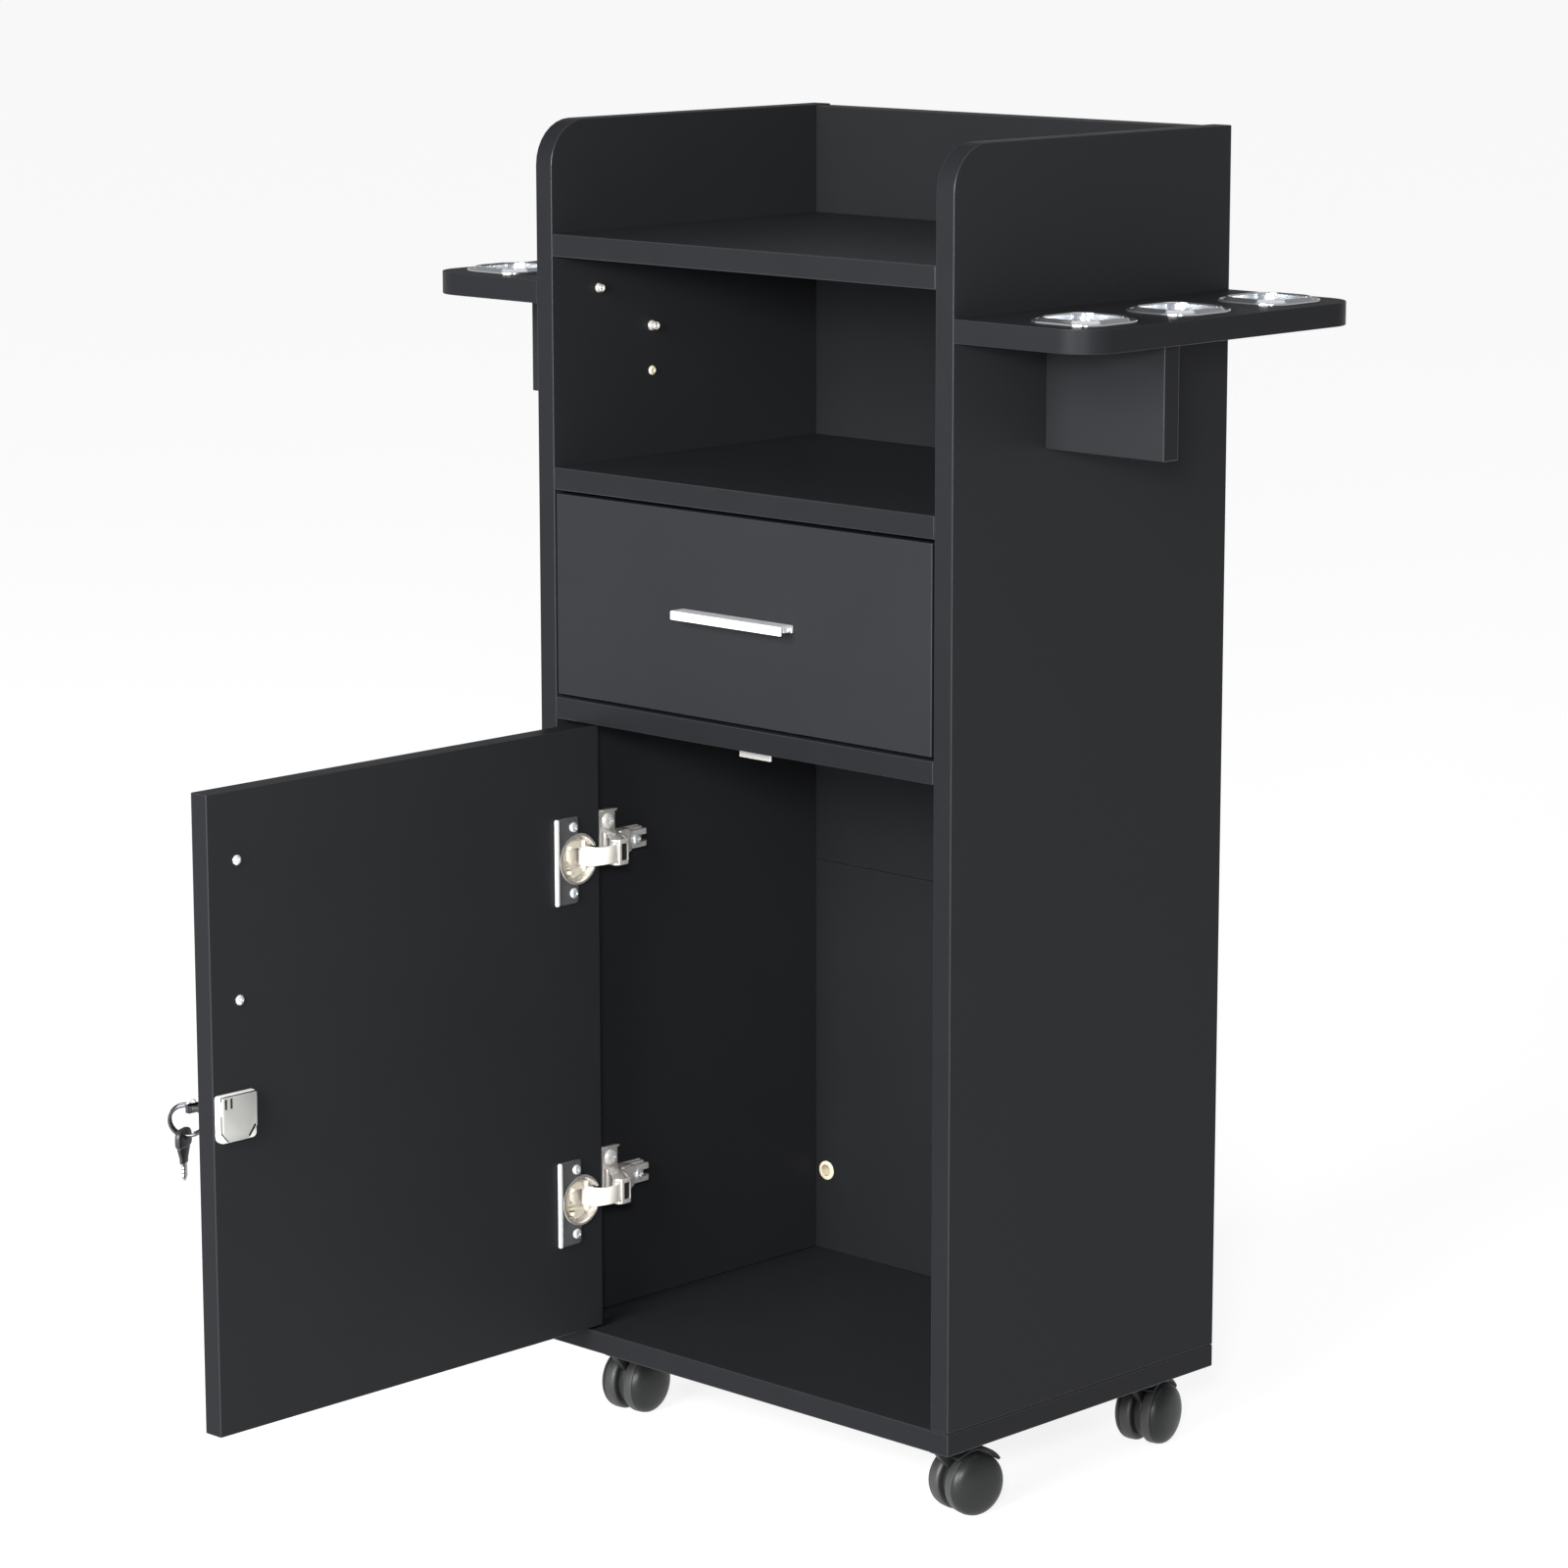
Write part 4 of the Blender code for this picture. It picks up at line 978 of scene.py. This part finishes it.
# Two upright slots near the lid's top and a slanted one near its lower right corner
SLOT_PLACES = (CASE_LOW.y + 0.0048, CASE_LOW.y + 0.0096)
SLOT_TOP = CASE_HIGH.z - 0.0020
SLOT_BOTTOM = CASE_HIGH.z - 0.0091
SLOT_HALF_WIDTH = 0.0011
SLANT = math.radians(-38)


def lock_lid_outline():
    """The lid's outline on the case, with two cut-off lower corners."""
    return [
        (LID_LEFT, LID_TOP),
        (LID_LEFT, CASE_LOW.z + LID_CORNER),
        (LID_LEFT + LID_CORNER * 0.7, LID_BOTTOM),
        (LID_RIGHT - LID_CORNER, LID_BOTTOM),
        (LID_RIGHT, CASE_LOW.z + LID_CORNER + 0.001),
        (LID_RIGHT, LID_TOP),
    ]


def lock_shell():
    """The case under the lid."""
    radii = (0.0045, 0.0035, 0.002, 0.002)
    outline = rounded((CASE_LOW.y, CASE_LOW.z), (CASE_HIGH.y, CASE_HIGH.z), radii)
    return prism(outline, DOOR_FACE + 0.0003, CASE_FACE - 0.0020, "X", 0.0010, 3)


def lock_barrel():
    """The sleeve round the plug, from the case through the door to a flange on the door's outside."""
    outside = DOOR_LOW.x
    profile = [
        (outside - 0.0018, 0.0075),
        (outside - 0.0018, 0.0094),
        (outside - 0.0012, 0.0098),
        (outside - 0.0003, 0.0104),
        (outside - 0.0003, 0.0092),
        (DOOR_FACE + 0.0008, 0.0092),
        (DOOR_FACE + 0.0008, 0.0075),
        (outside - 0.0018, 0.0075),
    ]
    shape = turned(profile, (0, KEY_AXIS.y, KEY_AXIS.z), "X", 48)
    bmesh.ops.remove_doubles(shape, verts=shape.verts, dist=1e-7)
    return shape


def lock_lid():
    """Two shapes: the lid with its slots, and dark sheets of painted shade in the bottoms of the slots and
    of the gap round it.
    """
    outline = lock_lid_outline()
    lid = prism(outline, CASE_FACE - LID_THICKNESS, CASE_FACE, "X", 0.0005)
    middle = (CASE_LOW + CASE_HIGH) / 2
    wider = [(middle.y + (y - middle.y) * 1.055, middle.z + (z - middle.z) * 1.04) for y, z in outline]
    # The dark sheets under the gap round the lid and in each slot are painted shade
    bottoms = [prism(wider, CASE_FACE - LID_THICKNESS, GAP_FACE, "X", 0.0001)]
    cuts = []
    for y in SLOT_PLACES:
        cuts.append(
            block(
                (CASE_FACE - 0.0016, y - SLOT_HALF_WIDTH, SLOT_BOTTOM),
                (CASE_FACE + 0.001, y + SLOT_HALF_WIDTH, SLOT_TOP),
                0.0002,
            )
        )
        bottoms.append(
            block(
                (CASE_FACE - 0.0012, y - SLOT_HALF_WIDTH - 0.0001, SLOT_BOTTOM - 0.0001),
                (CASE_FACE - 0.0004, y + SLOT_HALF_WIDTH + 0.0001, SLOT_TOP + 0.0001),
                0.0001,
            )
        )
    slant_place = Matrix.Translation((CASE_FACE - 0.0006, CASE_HIGH.y - 0.0058, CASE_LOW.z + 0.0060))
    slant_place = slant_place @ Matrix.Rotation(SLANT, 4, "X")
    cuts.append(placed(block((-0.0010, -0.0010, -0.0046), (0.0014, 0.0010, 0.0046), 0.0002), slant_place))
    bottoms.append(placed(block((-0.0006, -0.0011, -0.0047), (0.0002, 0.0011, 0.0047), 0.0001), slant_place))
    return carved(lid, *cuts), merged(*bottoms)


piece("lock_case_shell", merged(lock_shell(), lock_barrel()), BRIGHT_ZINC, "lock_case", ("lock_case",), 40.0)
lid_shape, slot_bottoms = lock_lid()
piece("lock_case_lid", lid_shape, SATIN_ZINC, "lock_case")
# Painted shade in the lid's slots and in the gap round the lid
piece("lock_case_slot_bottoms", slot_bottoms, SHADE, "lock_case")


# ---------------------------------------------------------------- keys

KEY_CUTS = (0.0, 0.0009, 0.0003, 0.0012, 0.0005, 0.0010, 0.0002)
KEY_HEAD_LENGTH = 0.024
KEY_HEAD_SHORTENING = 0.0056
SPARE_HEAD_LENGTH = 0.0215
SPARE_HOLE_INSET = 0.0046
SPARE_TURN = math.radians(24)


def key_blade(length, width):
    """A flat key's blade along +X from the head, with cuts along one side."""
    outline = [(-0.004, width / 2), (-0.004, -width / 2)]
    for index, depth in enumerate(KEY_CUTS):
        x = 0.004 + (length - 0.008) * index / (len(KEY_CUTS) - 1)
        outline.append((x, -width / 2 + depth))
    outline += [(length, 0.0), (length - 0.003, width / 2)]
    return prism(outline, -0.0009, 0.0009, "Z", 0.0002)


def key_grip(length, width, thickness, hole, neck=0.0080, corner=0.006):
    """A moulded key head from x = -length to 0: a round-cornered grip with a hole, and a tapered neck."""
    grip = rounded((-length, -width / 2), (-neck, width / 2), (corner, 0.004, 0.004, corner), 8)
    body = prism(grip, -thickness / 2, thickness / 2, "Z", 0.0011, 3)
    taper = [
        (-neck - 0.003, -width / 2 + 0.003),
        (-neck + 0.0004, -width / 2 + 0.0018),
        (-0.0005, -0.0046),
        (0.0032, -0.0042),
    ]
    taper += [(x, -y) for x, y in reversed(taper)]
    collar = prism(taper, -thickness / 2 + 0.0006, thickness / 2 - 0.0006, "Z", 0.0009, 3)
    return merged(carved(body, hole), collar)


# The key in the lock. Its head stops short of the swing's axis, where the ring's eye is.
key_low, key_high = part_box("door_key")
swing = Vector(JOINTS["key_ring_swing"]["pos_m"])
key_head_end = key_low.x + KEY_HEAD_LENGTH
key_grip_length = key_head_end - swing.x - KEY_HEAD_SHORTENING
key_place = Matrix.Translation((key_head_end, KEY_AXIS.y, KEY_AXIS.z))
socket = cylinder(-0.001, 0.004, 0.0018, (-key_grip_length, 0, 0), "X", 24)
key_head = key_grip(key_grip_length, 0.022, 0.0052, socket, 0.0042, 0.0048)
piece("door_key_head", placed(key_head, key_place), KEY_HEAD, "door_key", ("door_key",), 40.0)
key_blade_shape = key_blade(key_high.x - key_head_end, 0.0070)
piece("door_key_blade", placed(key_blade_shape, key_place), STEEL, "door_key")

# The spare key hangs head up, turned a little about the vertical.
spare_low, spare_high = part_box("spare_key")
spare_x = (spare_low.x + spare_high.x) / 2
spare_neck = spare_high.z - SPARE_HEAD_LENGTH
hang = Matrix.Rotation(SPARE_TURN, 4, "Z") @ Matrix.Rotation(math.radians(90), 4, "Y")
spare_place = Matrix.Translation((spare_x, swing.y, spare_neck)) @ hang
spare_hole = cylinder(-0.01, 0.01, 0.0032, (SPARE_HOLE_INSET - SPARE_HEAD_LENGTH, 0, 0), "Z", 28)
spare_head = key_grip(SPARE_HEAD_LENGTH, 0.0195, 0.0040, spare_hole)
piece("spare_key_head", placed(spare_head, spare_place), KEY_HEAD, "spare_key", ("spare_key",), 40.0)
spare_blade = key_blade(spare_neck - spare_low.z, 0.0066)
piece("spare_key_blade", placed(spare_blade, spare_place), KEY_STEEL, "spare_key")


# ---------------------------------------------------------------- split ring

WIRE = 0.00125
TURNS = 2
STEPS = 72
OPEN_STEPS = 6
EYE_WIRE = 0.0009
EYE_RADIUS = 0.0034
EYE_STEPS = 36
# The eye's shank in the socket of the key's head: distance along the key, height
SHANK = ((0.0036, 0.0022), (0.0048, 0.0008), (0.0058, 0.0), (0.0080, 0.0))
RING_TURN = math.radians(-40)

# The ring runs through the spare key's hole and a small eye in the end of the other key's head.
across_key = Vector((0, 1, 0))
lower_hole = Vector((spare_x, swing.y, spare_high.z - SPARE_HOLE_INSET))
tilt = (lower_hole - swing).normalized()
eye_loop = []
for index in range(EYE_STEPS):
    angle = 2 * math.pi * index / EYE_STEPS
    eye_loop.append(swing + (tilt * math.cos(angle) + across_key * math.sin(angle)) * EYE_RADIUS)
shank = [swing - tilt * EYE_RADIUS] + [swing + Vector((along, 0, rise)) for along, rise in SHANK]
eye_shape = merged(tube(eye_loop, EYE_WIRE, True, 12), tube(shank, EYE_WIRE, False, 12))
piece("split_ring_eye", eye_shape, STEEL, "spare_key", (), 50.0)

out = Matrix.Rotation(RING_TURN, 3, tilt) @ across_key.cross(tilt).normalized()
side_step = tilt.cross(out)
ring_top = swing + tilt * 0.0011
ring_middle = (ring_top + lower_hole) / 2
ring_radius = (ring_top - lower_hole).length / 2
coil = []
for index in range(TURNS * STEPS - OPEN_STEPS):
    angle = 2 * math.pi * index / STEPS
    shift = WIRE * 2.02 * (index / STEPS - TURNS / 2 + 0.04)
    spoke = (tilt * math.cos(angle) + out * math.sin(angle)) * ring_radius
    coil.append(ring_middle + spoke + side_step * shift)
piece("split_ring", tube(coil, WIRE, False, 12), RING_WIRE, "spare_key", (), 50.0)


# ---------------------------------------------------------------- fixings on the boards

WALLS = (
    ("left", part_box("left_side_panel")[1].x, 1),
    ("right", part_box("right_side_panel")[0].x, -1),
)
FIXINGS = (
    # distance behind the front, height, head radius, length, material
    (0.0453, 0.8300, 0.0026, 0.0044, STEEL),
    (0.0980, 0.7995, 0.0029, 0.0060, STEEL),
    (0.0980, 0.7670, 0.0026, 0.0014, CREAM),
)
for side, wall, facing in WALLS:
    for index, (depth, height, radius, length, look) in enumerate(FIXINGS):
        stud = [
            (0.0, 0.0),
            (0.0, radius * 1.3),
            (0.0007, radius * 1.25),
            (0.0009, radius),
            (length - 0.0004, radius),
            (length, radius * 0.86),
            (length, radius * 0.62),
            (length - 0.0012, radius * 0.55),
            (length - 0.0012, 0.0),
        ]
        stud = [(facing * along, reach) for along, reach in stud]
        shape = turned(stud, (wall, FRONT + depth, height), "X", 32)
        piece(f"{side}_bracket_fixing_{index}", shape, look, f"{side}_side_panel", (), 40.0)

HANDLE_SCREW_RISE = 0.048
handle_low, handle_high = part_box("door_handle")
handle_middle = (handle_low + handle_high) / 2
handle_heads = []
for end in (-1, 1):
    centre = (DOOR_FACE, handle_middle.y, handle_middle.z + end * HANDLE_SCREW_RISE)
    handle_heads.append(screw(centre, (1, 0, 0), 0.0036, 15.0 + 20.0 * end))
piece("door_handle_screws", merged(*handle_heads), SILVER, "door_panel", (), 40.0)

# A flanged sleeve lines the cable hole in the lower back panel.
CABLE_HOLE = (-0.170, 0.139)
SLEEVE_BORE = 0.0046
SLEEVE_RADIUS = 0.0058
back_low, back_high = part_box("lower_back_panel")
sleeve_profile = [
    (back_low.y - 0.0011, SLEEVE_BORE),
    (back_low.y - 0.0012, 0.0056),
    (back_low.y - 0.0007, 0.0072),
    (back_low.y - 0.0001, 0.0074),
    (back_low.y - 0.0001, SLEEVE_RADIUS),
    (back_high.y - 0.0010, SLEEVE_RADIUS),
    (back_high.y - 0.0010, SLEEVE_BORE),
    (back_low.y - 0.0011, SLEEVE_BORE),
]
sleeve = turned(sleeve_profile, (CABLE_HOLE[0], 0, CABLE_HOLE[1]), "Y", 40)
bmesh.ops.remove_doubles(sleeve, verts=sleeve.verts, dist=1e-7)
piece("cable_hole_sleeve", sleeve, CREAM, "lower_back_panel", (), 40.0)


# ---------------------------------------------------------------- studio and camera

FLOOR_HALF_SIZE = 40.0
FLOOR_DROP = 0.0002
FLOOR_GLOW = 0.84
SUN_POWER = 0.5
SUN_ANGLE = math.radians(70)

# The room is bright round the horizon and dims overhead: height and strength at both ends
HORIZON = (0.05, 0.45)
OVERHEAD = (0.50, 0.22)

CAMERA_PLACE = (2.3836, FRONT - 2.4290, 1.1644)
CAMERA_LENS = 115.03
SENSOR_WIDTH = 36.0
AZIMUTH = math.radians(43.927)
PITCH = math.radians(11.023)
ROLL = math.radians(-0.061)


def area_light(name, place, target, size, power):
    """A round white light aimed at a point."""
    data = bpy.data.lights.new(name, "AREA")
    data.shape = "DISK"
    data.size = size
    data.energy = power
    made = bpy.data.objects.new(name, data)
    made.location = place
    aim = Vector(target) - Vector(place)
    made.rotation_euler = aim.to_track_quat("-Z", "Y").to_euler()
    bpy.context.scene.collection.objects.link(made)


# The floor glows a little, so that it stays white up to the object's shadows.
floor_shape = bmesh.new()
bmesh.ops.create_grid(floor_shape, x_segments=8, y_segments=8, size=FLOOR_HALF_SIZE)
floor_mesh = bpy.data.meshes.new("studio_floor")
floor_shape.to_mesh(floor_mesh)
floor_shape.free()
paper = surface(
    "studio_floor", (0.25, 0.25, 0.25), 0.8, 0.0, 0.01, 0.03, 2.0, 60.0, specular=0.0, depth=0.0001
)
paper_shader = paper.node_tree.nodes["Principled BSDF"]
paper_shader.inputs["Emission Color"].default_value = (1.0, 1.0, 1.0, 1.0)
paper_shader.inputs["Emission Strength"].default_value = FLOOR_GLOW
floor_mesh.materials.append(paper)
floor = bpy.data.objects.new("studio_floor", floor_mesh)
floor.location = (0, 0, -FLOOR_DROP)
bpy.context.scene.collection.objects.link(floor)

world = bpy.data.worlds.new("studio")
bpy.context.scene.world = world
world.use_nodes = True
sky = world.node_tree.nodes["Background"]
direction = new_node(world.node_tree, "ShaderNodeTexCoord")
split = new_node(world.node_tree, "ShaderNodeSeparateXYZ")
span = {"From Min": HORIZON[0], "From Max": OVERHEAD[0], "To Min": HORIZON[1], "To Max": OVERHEAD[1]}
dim = new_node(world.node_tree, "ShaderNodeMapRange", span)
world.node_tree.links.new(direction.outputs["Generated"], split.inputs["Vector"])
world.node_tree.links.new(split.outputs["Z"], dim.inputs["Value"])
world.node_tree.links.new(dim.outputs["Result"], sky.inputs["Strength"])
sky.inputs["Color"].default_value = (0.97, 0.985, 1.0, 1.0)

area_light("key", (0.45, -3.30, 1.70), (0, 0, 0.5), 2.4, 310.0)
area_light("sparkle", (2.0, -2.1, 1.30), (0, 0, 0.5), 0.4, 75.0)
sun_data = bpy.data.lights.new("overhead", "SUN")
sun_data.energy = SUN_POWER
sun_data.angle = SUN_ANGLE
sun = bpy.data.objects.new("overhead", sun_data)
bpy.context.scene.collection.objects.link(sun)

camera_data = bpy.data.cameras.new("camera")
camera_data.sensor_width = SENSOR_WIDTH
camera_data.lens = CAMERA_LENS
camera_data.clip_end = 200.0
camera = bpy.data.objects.new("camera", camera_data)
bpy.context.scene.collection.objects.link(camera)
level_reach = math.cos(PITCH)
away = Vector((math.sin(AZIMUTH) * level_reach, -math.cos(AZIMUTH) * level_reach, math.sin(PITCH)))
camera.rotation_mode = "QUATERNION"
aim = (-away).to_track_quat("-Z", "Y")
camera.rotation_quaternion = (aim.to_matrix().to_4x4() @ Matrix.Rotation(ROLL, 4, "Z")).to_quaternion()
camera.location = CAMERA_PLACE
bpy.context.scene.camera = camera
bpy.context.scene.view_settings.view_transform = "Standard"
